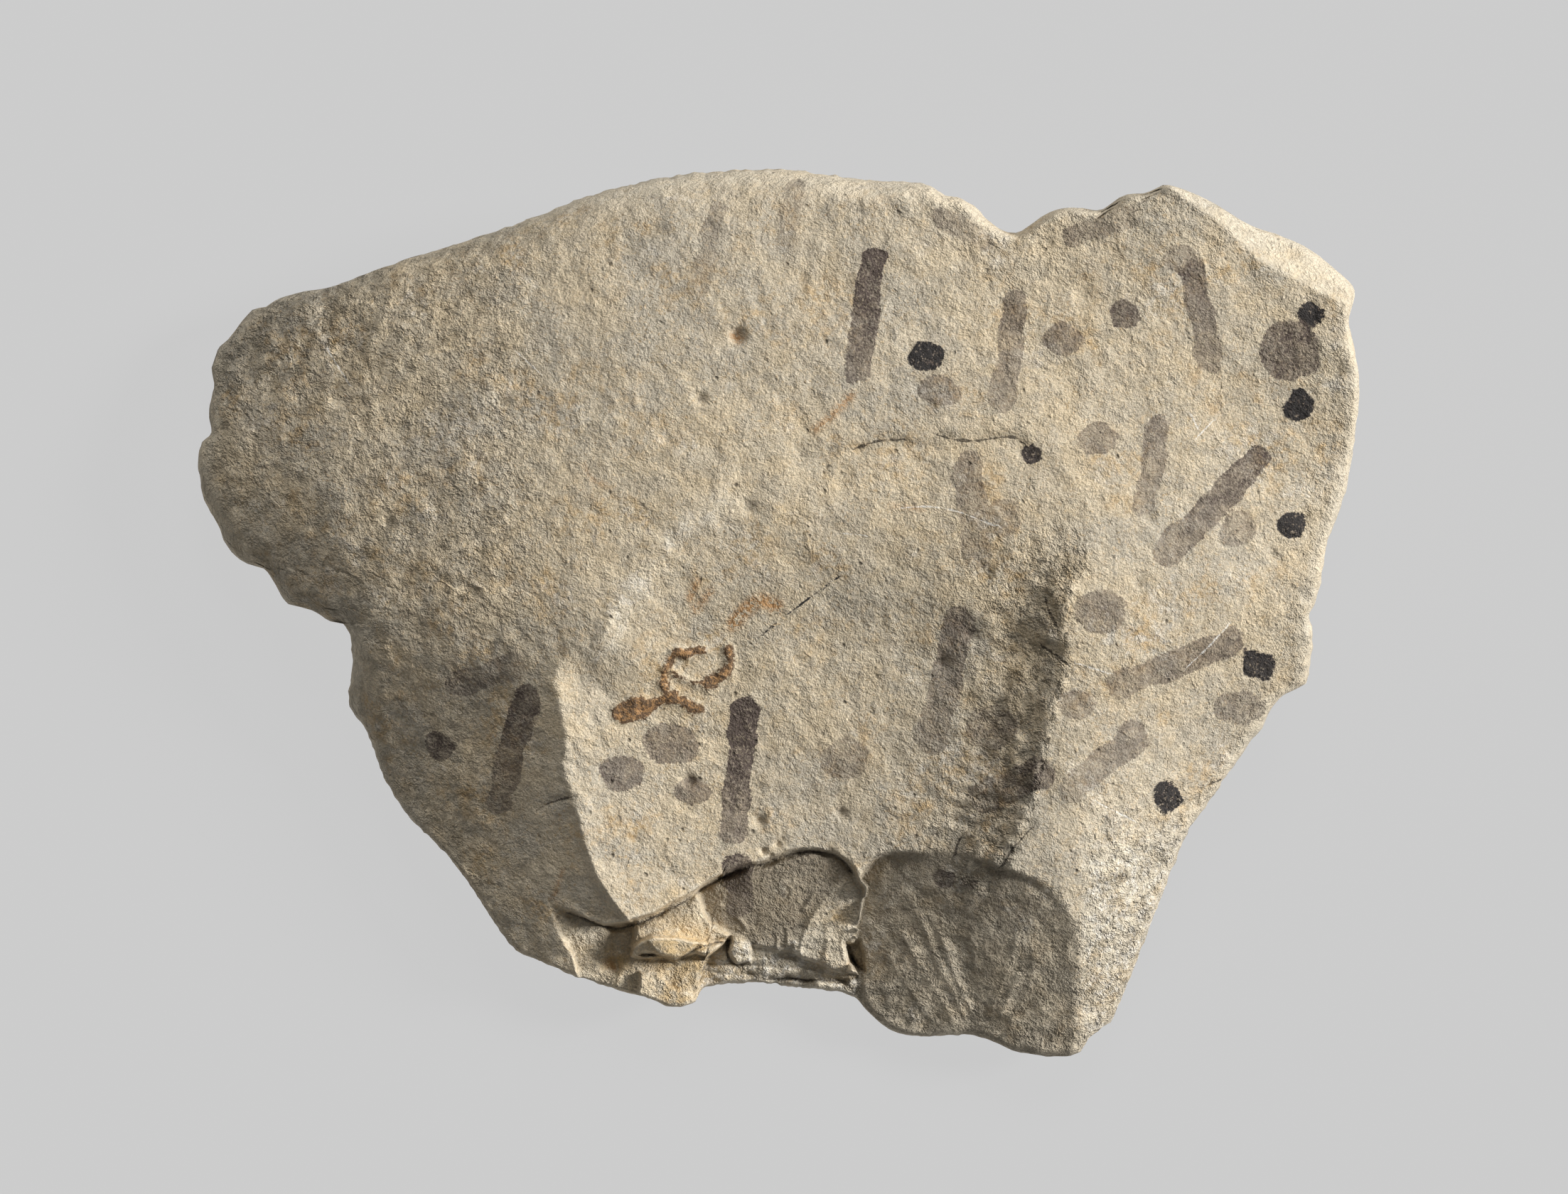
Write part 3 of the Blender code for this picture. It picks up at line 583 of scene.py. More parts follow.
def ripples(x, y):
    """Ripples beside the left crest, ribs over the shell-shaped scar and edges of the bedding layers."""
    strip = along(x, y, LEFT_CREST, 4.5, left=True) * ease((-9 - y) / 3) * ease((y + 31) / 5)
    lean = 0.55 * x + 0.84 * y + 0.7 * waves(x, y, 2.5, 21)
    cross = strip * 0.26 * np.abs(np.sin(lean * math.pi / 1.5))
    shelf = ease((-18 - y) / 4) * ease((y + 30) / 3) * ease((x - 17) / 6) * ease((35 - x) / 4)
    fold = shelf * 0.30 * np.abs(np.sin((0.25 * x + 0.97 * y + 0.9 * waves(x, y, 3.5, 22)) * math.pi / 2.2))
    fan = 0.05 * waves(x, y, 2.6, 27) * inside(x, y, SCALLOP)
    for half, height, line in FAN_LINES:
        away, _ = distance_to(x, y, curve_through(line, steps=4))
        fan = fan + height * np.exp(-(away / half) ** 2)
    layers = ease(0.5 + depth_within(x, y, BEDDING) / 0.8)
    layers = layers * 0.22 * np.abs(np.sin((y + 0.06 * x + 0.5 * waves(x, y, 3.0, 34)) * math.pi / 1.3))
    return cross + fold + fan + layers


def relief(x, y, to_rim):
    """Everything of a millimetre or more that is too small for the broad form."""
    rough = roughness(x, y, to_rim)
    z = 0.13 * waves(x, y, 6.5, 31) + 0.08 * waves(x, y, 3.8, 32)
    z = z + rough * (0.30 * breaks(x, y, 3.6, 41) + 0.26 * breaks(x, y, 2.1, 46))
    z = z + ripples(x, y)
    near, _ = nearest_line(x, y, CRACKS)
    z = z - 0.3 * np.exp(-(near / 0.5) ** 2)
    near, _ = nearest_line(x + 0.2 * waves(x, y, 1.2, 28), y + 0.2 * waves(x, y, 1.2, 29), GAPS)
    z = z - (0.8 + 0.9 * waves(x, y, 2.6, 30)) * np.exp(-(near / 0.38) ** 2)
    for half, height, line in RIBS:
        away, _ = distance_to(x, y, curve_through(line, steps=4))
        z = z + height * np.exp(-(away / half) ** 2)
    for px, py, radius, depth in PITS:
        z = z - depth * np.exp(-(((x - px) ** 2 + (y - py) ** 2) / radius**2) ** 1.5)
    away, _ = distance_to(x, y, SNAP_EDGE)
    z = z - 0.35 * np.exp(-(away / 0.5) ** 2) * (0.6 + 0.4 * waves(x, y, 2.2, 24))
    return z + 0.55 * ease(0.5 - vein_edge(x, y) / 1.0) * (0.8 + 0.5 * waves(x, y, 1.2, 25))


def vein_edge(x, y):
    """Distance outside the iron veins in millimetres, negative on them."""
    edge = np.full(x.shape, 99.0)
    for half, line in VEINS:
        away, _ = distance_to(x, y, curve_through(line, steps=4))
        edge = np.minimum(edge, away - half)
    return edge + 0.30 * waves(x, y, 1.6, 26)


tested = roughness(np.array([-10.0, 30.0, 45.0]), np.array([30.0, -5.0, -45.0]), np.full(3, 9.0))
print("roughness on the plain face, by the right crest and at the lower right:", tested.round(2))

# %% [markdown]
# ## Rim and back
# The face bends down to the rim, sharply where the stone is freshly broken and softly where it is rounded. The back
# isn't seen in the photograph. It is a gentle broken face that rises to the rim, with a flat patch in the middle on
# which the stone rests.

# %% Rounding and the back
# How far in from the rim the upper face starts to round over, at angles round the outline in degrees.
ROUNDING = [
    (-180, 2.7), (-165, 1.0), (-140, 0.8), (-110, 0.8), (-70, 1.0), (-52, 1.4), (-20, 1.2), (0, 1.4), (25, 1.4),
    (34, 1.2), (47, 1.0), (58, 1.3), (66, 1.8), (80, 3.8), (100, 7.0), (130, 5.0), (150, 3.0), (165, 2.4),
    (180, 2.7),
]
# How far in from a thin rim the back starts to curve up. A thick rim adds half its height to this.
UNDERCUT = 5.0

# Planes of the back: the direction each one rises in, how far from the middle it starts, and its grade.
BACK_PLANES = [
    (0.00, 1.00, 18, 0.10), (0.00, 1.00, 38, 0.25), (-0.45, 0.89, 36, 0.12), (0.70, 0.71, 26, 0.09),
    (1.00, 0.00, 24, 0.07), (1.00, 0.00, 50, 0.16), (0.90, -0.43, 36, 0.08), (0.10, -0.99, 26, 0.05),
    (-0.75, -0.66, 28, 0.08), (-1.00, 0.00, 28, 0.08), (-1.00, 0.00, 52, 0.10),
]


def back_height(x, y):
    """The back without its rim: flat in the middle where the stone rests, and well under the face."""
    lift = np.zeros(x.shape)
    for nx, ny, start, grade in BACK_PLANES:
        lift = lift + grade * np.clip(nx * x + ny * y - start, 0, None)
    lift = lift * (1 + 0.10 * waves(x, y, 14, 5) + 0.05 * waves(x, y, 6, 6))
    return np.minimum(lift, 0.35 * np.clip(crown(x, y), 0, None))


def both_faces(x, y, at_rim):
    """Heights of the upper face and of the back. They meet at the rim."""
    to_rim = np.where(at_rim, 0, np.abs(depth_within(x, y, RIM)))
    face = crown(x, y) - left_face(x, y) - hollow(x, y) - nick(x, y) - bevel(x, y)
    face = broken(x, y, scalloped(x, y, face)) + relief(x, y, to_rim)
    face = np.clip(face, 3.0, None)
    back = back_height(x, y)
    back = back + (0.16 + 0.16 * waves(x, y, 5, 61) + 0.3 * np.abs(breaks(x, y, 9, 65))) * ease(to_rim / 6)
    seam = back + (face - back) * (0.48 + 0.10 * waves(x, y, 20, 7))
    over_width = np.interp(np.degrees(np.arctan2(y, x)), *np.array(ROUNDING).T)
    under_width = UNDERCUT + 0.5 * (crown(x, y) - back)
    over = np.sqrt(1 - (1 - np.clip(to_rim / over_width, 0, 1)) ** 2)
    under = np.sqrt(1 - (1 - np.clip(to_rim / under_width, 0, 1)) ** 2)
    return seam + (face - seam) * over, seam + (back - seam) * under


print("planes of the back:", len(BACK_PLANES))

# %% [markdown]
# ## From heights to a closed mesh
# Two grids are laid over the outline, one for the face and a coarser one for the back. The coarse grid's border is
# split once, so that both borders have the same points and weld into one closed skin. The rows of the grid are
# closer together near the ledges, where the form is finest, and the cells there are split again. The face's grid
# waits a metre above the other until it is placed, so that its points are told apart by their height.

# %% Grids over the outline
ACROSS, DOWN = 252, 236  # cells of the face's grid, both even
CROWDING = 0.10  # how much the rows crowd towards the lower edge
FINE_ZONE = (-31.0, 13.0, -54.0, -29.0)  # mm, left, right, bottom and top of the ledges
RIM_CHIPS = [(0.28, 2.2, 51), (0.18, 1.1, 52)]  # mm, their depth and length along the rim, and a seed


def rim_radius(angle):
    """How far the rim is from the middle, at these angles in radians."""
    around = np.arctan2(RIM[:, 1], RIM[:, 0])
    order = np.argsort(around)
    return np.interp(angle, around[order], np.hypot(RIM[order, 0], RIM[order, 1]), period=2 * math.pi)


def on_stone(column, row):
    """Moves a square grid from -1 to 1 onto the stone's outline, with small chips along it."""
    x = column * np.sqrt(1 - row**2 / 2)
    y = row * np.sqrt(1 - column**2 / 2)
    angle = np.arctan2(y, x)
    reach = np.hypot(x, y) * rim_radius(angle)
    for depth, length, seed in RIM_CHIPS:
        reach = reach - depth * np.abs(waves(70 * angle, 0 * angle, length, seed))
    return reach * np.cos(angle), reach * np.sin(angle)


def laid_out(flat):
    """Takes points of the square grid to the outline, with the rows closer together towards the lower edge."""
    column, row = np.clip(flat, -1, 1).T
    return on_stone(column, row - CROWDING * (1 - row**2))


def add_grid(bm, columns, rows, level):
    """A square grid from -1 to 1, at this height until its points are placed."""
    place = Matrix.Translation((0, 0, level))
    bmesh.ops.create_grid(bm, x_segments=columns, y_segments=rows, size=1.0, matrix=place)


def split_fine_zone(bm, verts):
    """Splits the cells around the ledges once more."""
    x, y = laid_out(np.array([v.co[:2] for v in verts]))
    left, right, bottom, top = FINE_ZONE
    within = (x > left) & (x < right) & (y > bottom) & (y < top)
    chosen = {v for v, yes in zip(verts, within) if yes and not v.is_boundary}
    edges = [e for e in bm.edges if e.verts[0] in chosen and e.verts[1] in chosen]
    bmesh.ops.subdivide_edges(bm, edges=edges, cuts=1, use_grid_fill=True)


def placed(verts, upper):
    """Moves the grid's points to their places on the stone."""
    flat = np.array([v.co[:2] for v in verts])
    x, y = laid_out(flat)
    z = both_faces(x, y, np.abs(flat).max(axis=1) > 0.9999)[0 if upper else 1]
    for v, co in zip(verts, np.stack([x, y, z], axis=1) * MM):
        v.co = co


def waiting(bm):
    """The points of the face's grid, which waits a metre up until it is placed."""
    return [v for v in bm.verts if v.co.z > 0.5]


def stone_mesh():
    bm = bmesh.new()
    add_grid(bm, ACROSS // 2, DOWN // 2, level=0)
    border = [e for e in bm.edges if e.is_boundary]
    bmesh.ops.subdivide_edges(bm, edges=border, cuts=1)
    placed(list(bm.verts), upper=False)
    bmesh.ops.reverse_faces(bm, faces=bm.faces)
    add_grid(bm, ACROSS, DOWN, level=1)
    split_fine_zone(bm, waiting(bm))
    placed(waiting(bm), upper=True)
    bmesh.ops.remove_doubles(bm, verts=bm.verts, dist=0.01 * MM)
    bmesh.ops.triangulate(bm, faces=bm.faces)
    bmesh.ops.recalc_face_normals(bm, faces=bm.faces)
    for face in bm.faces:
        face.smooth = True
    print("open edges:", sum(not e.is_manifold for e in bm.edges), "triangles:", len(bm.faces))
    mesh = bpy.data.meshes.new("limestone flake")
    bm.to_mesh(mesh)
    bm.free()
    return mesh


mesh = stone_mesh()

# %% Fit to the solid's box
def fit_to_frame(mesh):
    """Stretches the mesh by a fraction of a percent, so that its box is exactly that of the CAD solid."""
    co = np.array([v.co for v in mesh.vertices])
    low, high = co.min(axis=0), co.max(axis=0)
    want_low, want_high = np.array(CAD_LOW), np.array(CAD_HIGH)
    print("stretch:", ((want_high - want_low) / (high - low)).round(4))
    co = want_low + (co - low) * (want_high - want_low) / (high - low)
    mesh.vertices.foreach_set("co", co.ravel())
    mesh.update()
    return co


POINTS = fit_to_frame(mesh) / MM

# %% [markdown]
# ## Maps for the finish
# The finish needs to know where things are: how far a point is from the edge of a brush stroke or of an iron vein, and
# whether it is on a crest or in a dip. These are stored as attributes of the mesh. A distance blends evenly between
# points, so the material can cut a sharper edge from it than the mesh has points for.

# %% Brush marks
# The ink is old, thin and brown-grey. Plain bars, dots and dabs of the brush are laid where ink shows on the stone.
# Each has its start, its end, half its width and its strength.
BARS = [
    (12.5, 45.5, 10.4, 31.0, 1.7, 0.80), (30.5, 40.0, 29.0, 27.5, 1.7, 0.55),
    (53.0, 44.0, 55.2, 32.5, 1.7, 0.62), (-7.5, 52.0, -9.4, 42.0, 1.2, 0.30), (2.4, 54.5, 1.2, 47.0, 1.2, 0.28),
    (21.0, 50.6, 26.5, 47.6, 1.3, 0.40), (38.0, 48.2, 45.0, 50.6, 1.4, 0.42),
    (61.5, 20.0, 50.0, 8.0, 1.8, 0.66), (58.5, -3.5, 44.0, -9.0, 1.8, 0.55),
    (49.0, 24.0, 47.0, 14.0, 1.6, 0.50), (24.5, 19.0, 25.6, 7.5, 1.9, 0.45),
    (23.5, -1.0, 20.0, -16.0, 2.0, 0.52), (-4.0, -12.5, -5.4, -27.6, 1.9, 0.85),
    (-5.0, -32.6, -4.6, -37.0, 1.9, 0.70), (-32.0, -10.5, -35.5, -24.0, 1.8, 0.62),
    (-41.0, -9.0, -33.5, -6.5, 1.6, 0.45), (33.6, -20.5, 26.5, -23.5, 2.0, 0.55),
    (46.0, -15.5, 38.0, -22.0, 1.9, 0.45),
]
DABS = [  # middle, radius, stretch along X and strength
    (36.5, 35.0, 2.0, 1.2, 0.50), (44.5, 38.0, 1.9, 1.0, 0.60), (65.5, 33.5, 3.9, 1.0, 0.62),
    (41.0, 22.5, 2.2, 1.2, 0.45), (20.8, 28.6, 2.1, 1.3, 0.42), (59.0, 11.0, 2.2, 1.1, 0.35),
    (41.5, 0.5, 2.6, 1.3, 0.46), (38.5, -11.5, 2.0, 1.2, 0.40), (-19.5, -20.5, 2.3, 1.3, 0.55),
    (-13.5, -16.6, 2.5, 1.5, 0.50), (-10.6, -22.6, 1.8, 1.3, 0.50), (-43.6, -17.0, 2.0, 1.0, 0.60),
    (9.0, -18.5, 2.6, 1.2, 0.30), (27.5, -14.5, 3.0, 1.1, 0.36), (29.0, 12.5, 2.4, 1.0, 0.30),
    (51.5, 45.4, 1.5, 1.5, 0.35), (21.6, -34.0, 1.3, 1.0, 0.50), (24.8, -34.6, 1.0, 1.2, 0.40),
    (59.6, -12.0, 2.0, 1.6, 0.40),
]
BLACK_DOTS = [
    (19.0, 33.0, 1.9, 0.95), (66.8, 27.0, 1.9, 0.90), (66.0, 11.5, 1.9, 0.80), (62.0, -6.5, 2.1, 0.72),
    (50.5, -23.5, 2.0, 0.78), (68.2, 38.4, 1.7, 0.80), (32.6, 20.6, 1.4, 0.55),
]


def brush_marks(x, y):
    """Distance outside the nearest mark, negative within it, and the strength of the ink there."""
    edge, strength = np.full(x.shape, 9.0), np.zeros(x.shape)
    x, y = x + 0.45 * waves(x, y, 2.0, 71), y + 0.45 * waves(x, y, 2.0, 72)

    def lay(away, ink):
        nonlocal edge, strength
        strength = np.where(away < edge, ink, strength)
        edge = np.minimum(edge, away)

    for ax, ay, bx, by, half, ink in BARS:
        t = ((x - ax) * (bx - ax) + (y - ay) * (by - ay)) / ((bx - ax) ** 2 + (by - ay) ** 2)
        away, _ = distance_to(x, y, [(ax, ay), (bx, by)])
        lay(away - half, ink * (1 - 0.35 * np.clip(t, 0, 1)))
    for px, py, radius, stretch, ink in DABS:
        lay(np.hypot((x - px) / stretch, y - py) - radius, ink)
    for px, py, radius, ink in BLACK_DOTS:
        lay(np.hypot(x - px, y - py) - radius + 0.45 * waves(x, y, 1.5, 73), 1 + ink)
    return edge, strength


print("bars, dabs and dots:", len(BARS), len(DABS), len(BLACK_DOTS))

# %% Iron, scratches and wear
RUST_SMEARS = [
    (1.0, [(-5.4, -1.2), (-4.2, 0.3), (-2.8, 1.4), (-1.5, 1.8), (0.1, 1.1)]),
    (0.5, [(-10.9, 2.1), (-10.1, 4.3)]),
    (0.5, [(-10.3, 0.5), (-8.3, 3.0)]),
    (0.5, [(4.9, 23.6), (6.3, 24.5), (7.4, 25.6), (8.6, 26.8), (9.7, 27.9)]),
    (0.2, [(-24.4, 19.2), (-23.7, 17.7), (-22.7, 16.9), (-21.5, 16.5)]),
    (0.6, [(-5.2, 35.6), (-4.6, 35.2)]),
    (0.5, [(-21.5, -45.2), (-21.0, -45.6)]),
    (0.2, [(-28.6, -36.4), (-27.4, -33.0)]),
    (0.2, [(14.6, 14.0), (18.8, 13.4)]),
]
SCRATCHES = [
    [(15.7, 13.6), (19.1, 13.8), (22.8, 13.3), (28.1, 11.3)],
    [(52.6, -6.7), (55.3, -4.1), (57.8, -1.4)],
    [(53.0, 25.4), (53.8, 23.8)],
    [(55.6, 24.6), (53.9, 22.8)],
    [(-57.6, 34.0), (-54.8, 29.6)],
    [(8.5, 10.4), (11.2, 10.2)],
    [(41.2, -24.0), (46.0, -26.4)],
    [(38.6, -6.2), (42.4, -7.4)],
    [(-32.8, 33.4), (-30.2, 31.0)],
]
PENCIL = [[(-1.5, -2.4), (0.8, -0.5), (4.5, 2.3), (8.6, 5.2)]]
PALE_CREST = curve_through([
    (-6.0, 15.0), (-8.3, 13.5), (-12.0, 11.0), (-15.2, 6.9), (-17.0, 4.6), (-19.3, 1.4), (-21.0, -1.8),
    (-22.6, -5.0),
])


def rust_edge(x, y):
    edge = np.full(x.shape, 9.0)
    for half, line in RUST_SMEARS:
        away, _ = distance_to(x, y, curve_through(line, steps=4))
        edge = np.minimum(edge, away - half)
    return edge


def patches(x, y, spots):
    """Soft round patches, each with its middle and its radius."""
    return sum(np.exp(-((x - px) ** 2 + (y - py) ** 2) / r**2) for px, py, r in spots)


def pale_end(x, y):
    """Rises towards the pale block at the tongue's right end, from 0 on the line where its grey part ends."""
    return x - 4 + 0.9 * (-y - 40)


def paleness_and_light(x, y, to_rim):
    """Where the stone is lighter: fresher on the ledges and the crest of the hollow, and painted light on the lower
    right and the bevel, which face the key light.
    """
    ledges = depth_in_ledges(x, y, LEDGES[:1] + LEDGES[2:]).max(axis=0)
    ledges = np.maximum(ledges, 0.7 * pale_end(x, y) * (depth_within(x, y, TONGUE) > 0))
    crest, _ = distance_to(x, y, PALE_CREST)
    # Painted light: the lower right and the bevel are made paler where they face the key light.
    low_right = ease((x - 39) / 1.5) * ease((-22 - y) / 16)
    _, out = distance_to(x, y, BEVEL_EDGE)
    return np.clip(0.75 * ease(0.5 + ledges / 2) + 0.40 * np.exp(-(crest / 1.7) ** 2) + 1.3 * low_right
                   + 0.35 * (out > 0) * ease(0.5 + to_rim) + 0.25 * np.exp(-to_rim / 1.5), 0, 1)


def patina_and_shade(x, y):
    """Where the stone is greyer and darker: patina and painted shade on the shell-shaped scar, and painted shade on
    the tongue under the lip and at the foot of the hollow.
    """
    # Painted shade under the lip and at the hollow's foot. On the scar it is patina and painted shade.
    fan = ease(0.5 + depth_within(x, y, SCALLOP) / 0.8)
    tongue = ease(0.5 + depth_within(x, y, TONGUE) / 1.5) * ease(0.5 - pale_end(x, y) / 5)
    foot = ease(1 - np.hypot((x - 6) / 22, (y + 21) / 9)) * inside(x, y, HOLLOW)
    return np.clip(0.7 * fan + 0.9 * tongue + 0.3 * foot, 0, 1)


def ochre_film(x, y):
    """Where iron has coloured the broken ledges: the wedge, the knob and the ledge over the rim."""
    films = [(-13.0, -43.4, 4.6), (-13.0, -50.2, 2.6), (-9.2, -44.6, 2.4), (-20.8, -44.8, 2.2), (8.0, -39.0, 1.6)]
    return np.clip(patches(x, y, films), 0, 1)


def chalky_and_lit(x, y):
    """Where the stone is scuffed grey-white: the bedding layers and the crest at the top of the hollow. On the lower
    right it is painted light.
    """
    bedding = ease(0.5 + depth_within(x, y, BEDDING) / 1.2)
    crest, _ = distance_to(x, y, PALE_CREST)
    spots = [(-44.5, 23.5, 4.5), (-39.0, 25.5, 3.0), (-20.0, 2.0, 3.5), (58.5, 22.0, 3.0), (47.0, -3.0, 4.0)]
    # Painted light: the lower right is made grey-white where it faces the key light.
    low_right = ease((x - 39) / 1.5) * ease((-22 - y) / 12)
    crumbs = 0.55 * np.exp(-(crest / 1.4) ** 2) + 0.5 * patches(x, y, spots)
    return np.clip(0.9 * bedding + crumbs + 0.8 * low_right, 0, 1)


def sharper_grain(x, y):
    """Where the finish alone is hacklier: the left lobe, the scar, the ledges and the right crest."""
    ledges = depth_in_ledges(x, y).max(axis=0)
    right_band = along(x, y, RIGHT_CREST, 8.0, left=False) * ease((14 - y) / 12)
    scar = ease(0.5 + depth_within(x, y, SCALLOP))
    return 0.8 * ease((-26 - x) / 14) + 0.8 * scar + 0.35 * ease(0.5 + ledges) + 0.8 * right_band


def neighbour_mean(mesh, values, rounds):
    """Averages a value with that of the joined points, this many times over."""
    ends = np.zeros(len(mesh.edges) * 2, np.int64)
    mesh.edges.foreach_get("vertices", ends)
    a, b = ends[0::2], ends[1::2]
    count = np.bincount(ends, minlength=len(values)) + 1
    for _ in range(rounds):
        joined = np.bincount(a, values[b], len(values)) + np.bincount(b, values[a], len(values))
        values = (values + joined) / count
    return values


def store(mesh, name, values):
    layer = mesh.attributes.new(name, "FLOAT", "POINT")
    layer.data.foreach_set("value", np.ascontiguousarray(values, np.float32))
    print(f"{name}: {values.min():.2f} to {values.max():.2f}")


def add_maps(mesh):
    x, y, z = POINTS.T
    facing = np.zeros(len(z) * 3)
    mesh.vertices.foreach_get("normal", facing)
    above = ease(facing[2::3] * 3 + 0.8)
    to_rim = np.abs(depth_within(x, y, RIM))
    edge, strength = brush_marks(x, y)
    store(mesh, "ink_edge", np.where(above > 0.5, edge, 9.0))
    store(mesh, "ink_strength", strength)
    store(mesh, "vein_edge", np.where(above > 0.5, vein_edge(x, y), 9.0))
    store(mesh, "rust_edge", np.where(above > 0.5, rust_edge(x, y), 9.0))
    for name, lines in (("scratch", SCRATCHES), ("crack", CRACKS), ("pencil", PENCIL), ("gap", GAPS)):
        near, side = nearest_line(x, y, lines)
        near = np.where(above > 0.5, near, 9.0)
        store(mesh, name + "_near", near)
        store(mesh, name + "_side", near * side)
    store(mesh, "pale", paleness_and_light(x, y, to_rim) * above)
    store(mesh, "patina_and_shade", patina_and_shade(x, y) * above)
    store(mesh, "ochre_film", ochre_film(x, y) * above)
    store(mesh, "chalky_and_lit", chalky_and_lit(x, y) * above)
    store(mesh, "rough", roughness(x, y, to_rim) + sharper_grain(x, y))
    smooth = np.stack([neighbour_mean(mesh, axis, 8) for axis in (x, y, z)], axis=1)
    normal = facing.reshape(-1, 3)
    store(mesh, "crest", ((POINTS - smooth) * normal).sum(axis=1))


add_maps(mesh)

# %% [markdown]
# ## Shared shader pieces
# Small helpers place a node and wire it in one line. The effects that the material uses more than once become node
# groups with named inputs and outputs: the grain of the stone, its drifting colour, and a mask cut from a distance.

# %% Node helpers
def add_node(tree, kind, inputs=None, **settings):
    """A node with its settings, and its inputs as values or as sockets to wire in."""
    node = tree.nodes.new(kind)
    for name, value in settings.items():
        setattr(node, name, value)
    for name, value in (inputs or {}).items():
        if isinstance(value, bpy.types.NodeSocket):
            tree.links.new(value, node.inputs[name])
        else:
            node.inputs[name].default_value = value
    return node


def math_node(tree, operation, a, b=0.0, clamp=False):
    return add_node(tree, "ShaderNodeMath", {0: a, 1: b}, operation=operation, use_clamp=clamp).outputs[0]


def times(tree, *factors):
    product = factors[0]
    for factor in factors[1:]:
        product = math_node(tree, "MULTIPLY", product, factor)
    return product


def plus(tree, *terms):
    total = terms[0]
    for term in terms[1:]:
        total = math_node(tree, "ADD", total, term)
    return total


def vector_node(tree, operation, a, b, output="Vector"):
    """Vector arithmetic. With SCALE, the second value is a plain factor."""
    second = "Scale" if operation == "SCALE" else 1
    return add_node(tree, "ShaderNodeVectorMath", {0: a, second: b}, operation=operation).outputs[output]


def spread(tree, value, low, high, to_low, to_high):
    """Takes a value between low and high evenly to one between two others."""
    ends = {"From Min": low, "From Max": high, "To Min": to_low, "To Max": to_high}
    return add_node(tree, "ShaderNodeMapRange", {"Value": value, **ends}).outputs["Result"]


def fade(tree, value, low, high):
    """0 below low, 1 above high, soft between. Works downwards too, with low above high."""
    node = add_node(tree, "ShaderNodeMapRange", {"Value": value, "From Min": low, "From Max": high},
                    interpolation_type="SMOOTHSTEP")
    return node.outputs["Result"]


def noise(tree, vector, size, detail=2.0, roughness=0.5, output="Fac"):
    """Noise with features about this many millimetres across."""
    values = {"Vector": vector, "Scale": 1 / size, "Detail": detail, "Roughness": roughness}
    return add_node(tree, "ShaderNodeTexNoise", values).outputs[output]


def varied(tree, vector, size, detail, roughness):
    """The same noise with 0 as its middle value."""
    return math_node(tree, "SUBTRACT", noise(tree, vector, size, detail, roughness), 0.5)


def blend(tree, amount, a, b, kind="MIX"):
    node = add_node(tree, "ShaderNodeMix", data_type="RGBA", blend_type=kind)
    for name, value in (("Factor", amount), ("A", a), ("B", b)):
        fits = [s for s in node.inputs if s.name == name and s.enabled]
        socket = next(s for s in fits if s.type == "RGBA" or name == "Factor")
        if isinstance(value, bpy.types.NodeSocket):
            tree.links.new(value, socket)
        else:
            socket.default_value = value
    return next(s for s in node.outputs if s.type == "RGBA")


def attribute(tree, name):
    return add_node(tree, "ShaderNodeAttribute", attribute_name=name).outputs["Fac"]


def new_group(name, inputs, outputs):
    """A shader group with these sockets. Each input has its kind and its default."""
    tree = bpy.data.node_groups.new(name, "ShaderNodeTree")
    for label, (kind, default) in inputs.items():
        socket = tree.interface.new_socket(label, in_out="INPUT", socket_type=kind)
        if default is not None:
            socket.default_value = default
    for label, kind in outputs.items():
        tree.interface.new_socket(label, in_out="OUTPUT", socket_type=kind)
    return tree, tree.nodes.new("NodeGroupInput"), tree.nodes.new("NodeGroupOutput")


def use_group(tree, group, inputs=None):
    node = tree.nodes.new("ShaderNodeGroup")
    node.node_tree = group
    for name, value in (inputs or {}).items():
        if isinstance(value, bpy.types.NodeSocket):
            tree.links.new(value, node.inputs[name])
        else:
            node.inputs[name].default_value = value
    return node


def millimetres(tree):
    """The place on the stone in millimetres, so that pattern sizes can be given as real sizes."""
    place = tree.nodes.new("ShaderNodeTexCoord").outputs["Object"]
    return vector_node(tree, "SCALE", place, 1 / MM)


print("node helpers are ready")

# %% Group: grain of broken limestone
def scattered_spots(tree, vector, apart, radius):
    """Round spots in about a quarter of the cells, the cells this many millimetres apart."""
    spots = add_node(tree, "ShaderNodeTexVoronoi", {"Vector": vector, "Scale": 1 / apart}, feature="F1")
    chance = add_node(tree, "ShaderNodeSeparateColor", {0: spots.outputs["Color"]}).outputs[0]
    near = fade(tree, spots.outputs["Distance"], radius, radius * 0.25)
    return times(tree, near, fade(tree, chance, 0.55, 0.85))


def tilted_chips(tree, vector, apart):
    """Small flat chips, each tilted its own way, the chips this many millimetres apart."""
    cells = add_node(tree, "ShaderNodeTexVoronoi", {"Vector": vector, "Scale": 1 / apart}, feature="F1")
    away = vector_node(tree, "SUBTRACT", vector, cells.outputs["Position"])
    lean = vector_node(tree, "SUBTRACT", cells.outputs["Color"], (0.5, 0.5, 0.5))
    return vector_node(tree, "DOT_PRODUCT", away, lean, output="Value")


# Sizes of the grain in millimetres.
HACKLY, CHIP, SHARD = 2.0, 0.55, 1.5
PITS_APART, LUMPS_APART = 2.3, 1.7


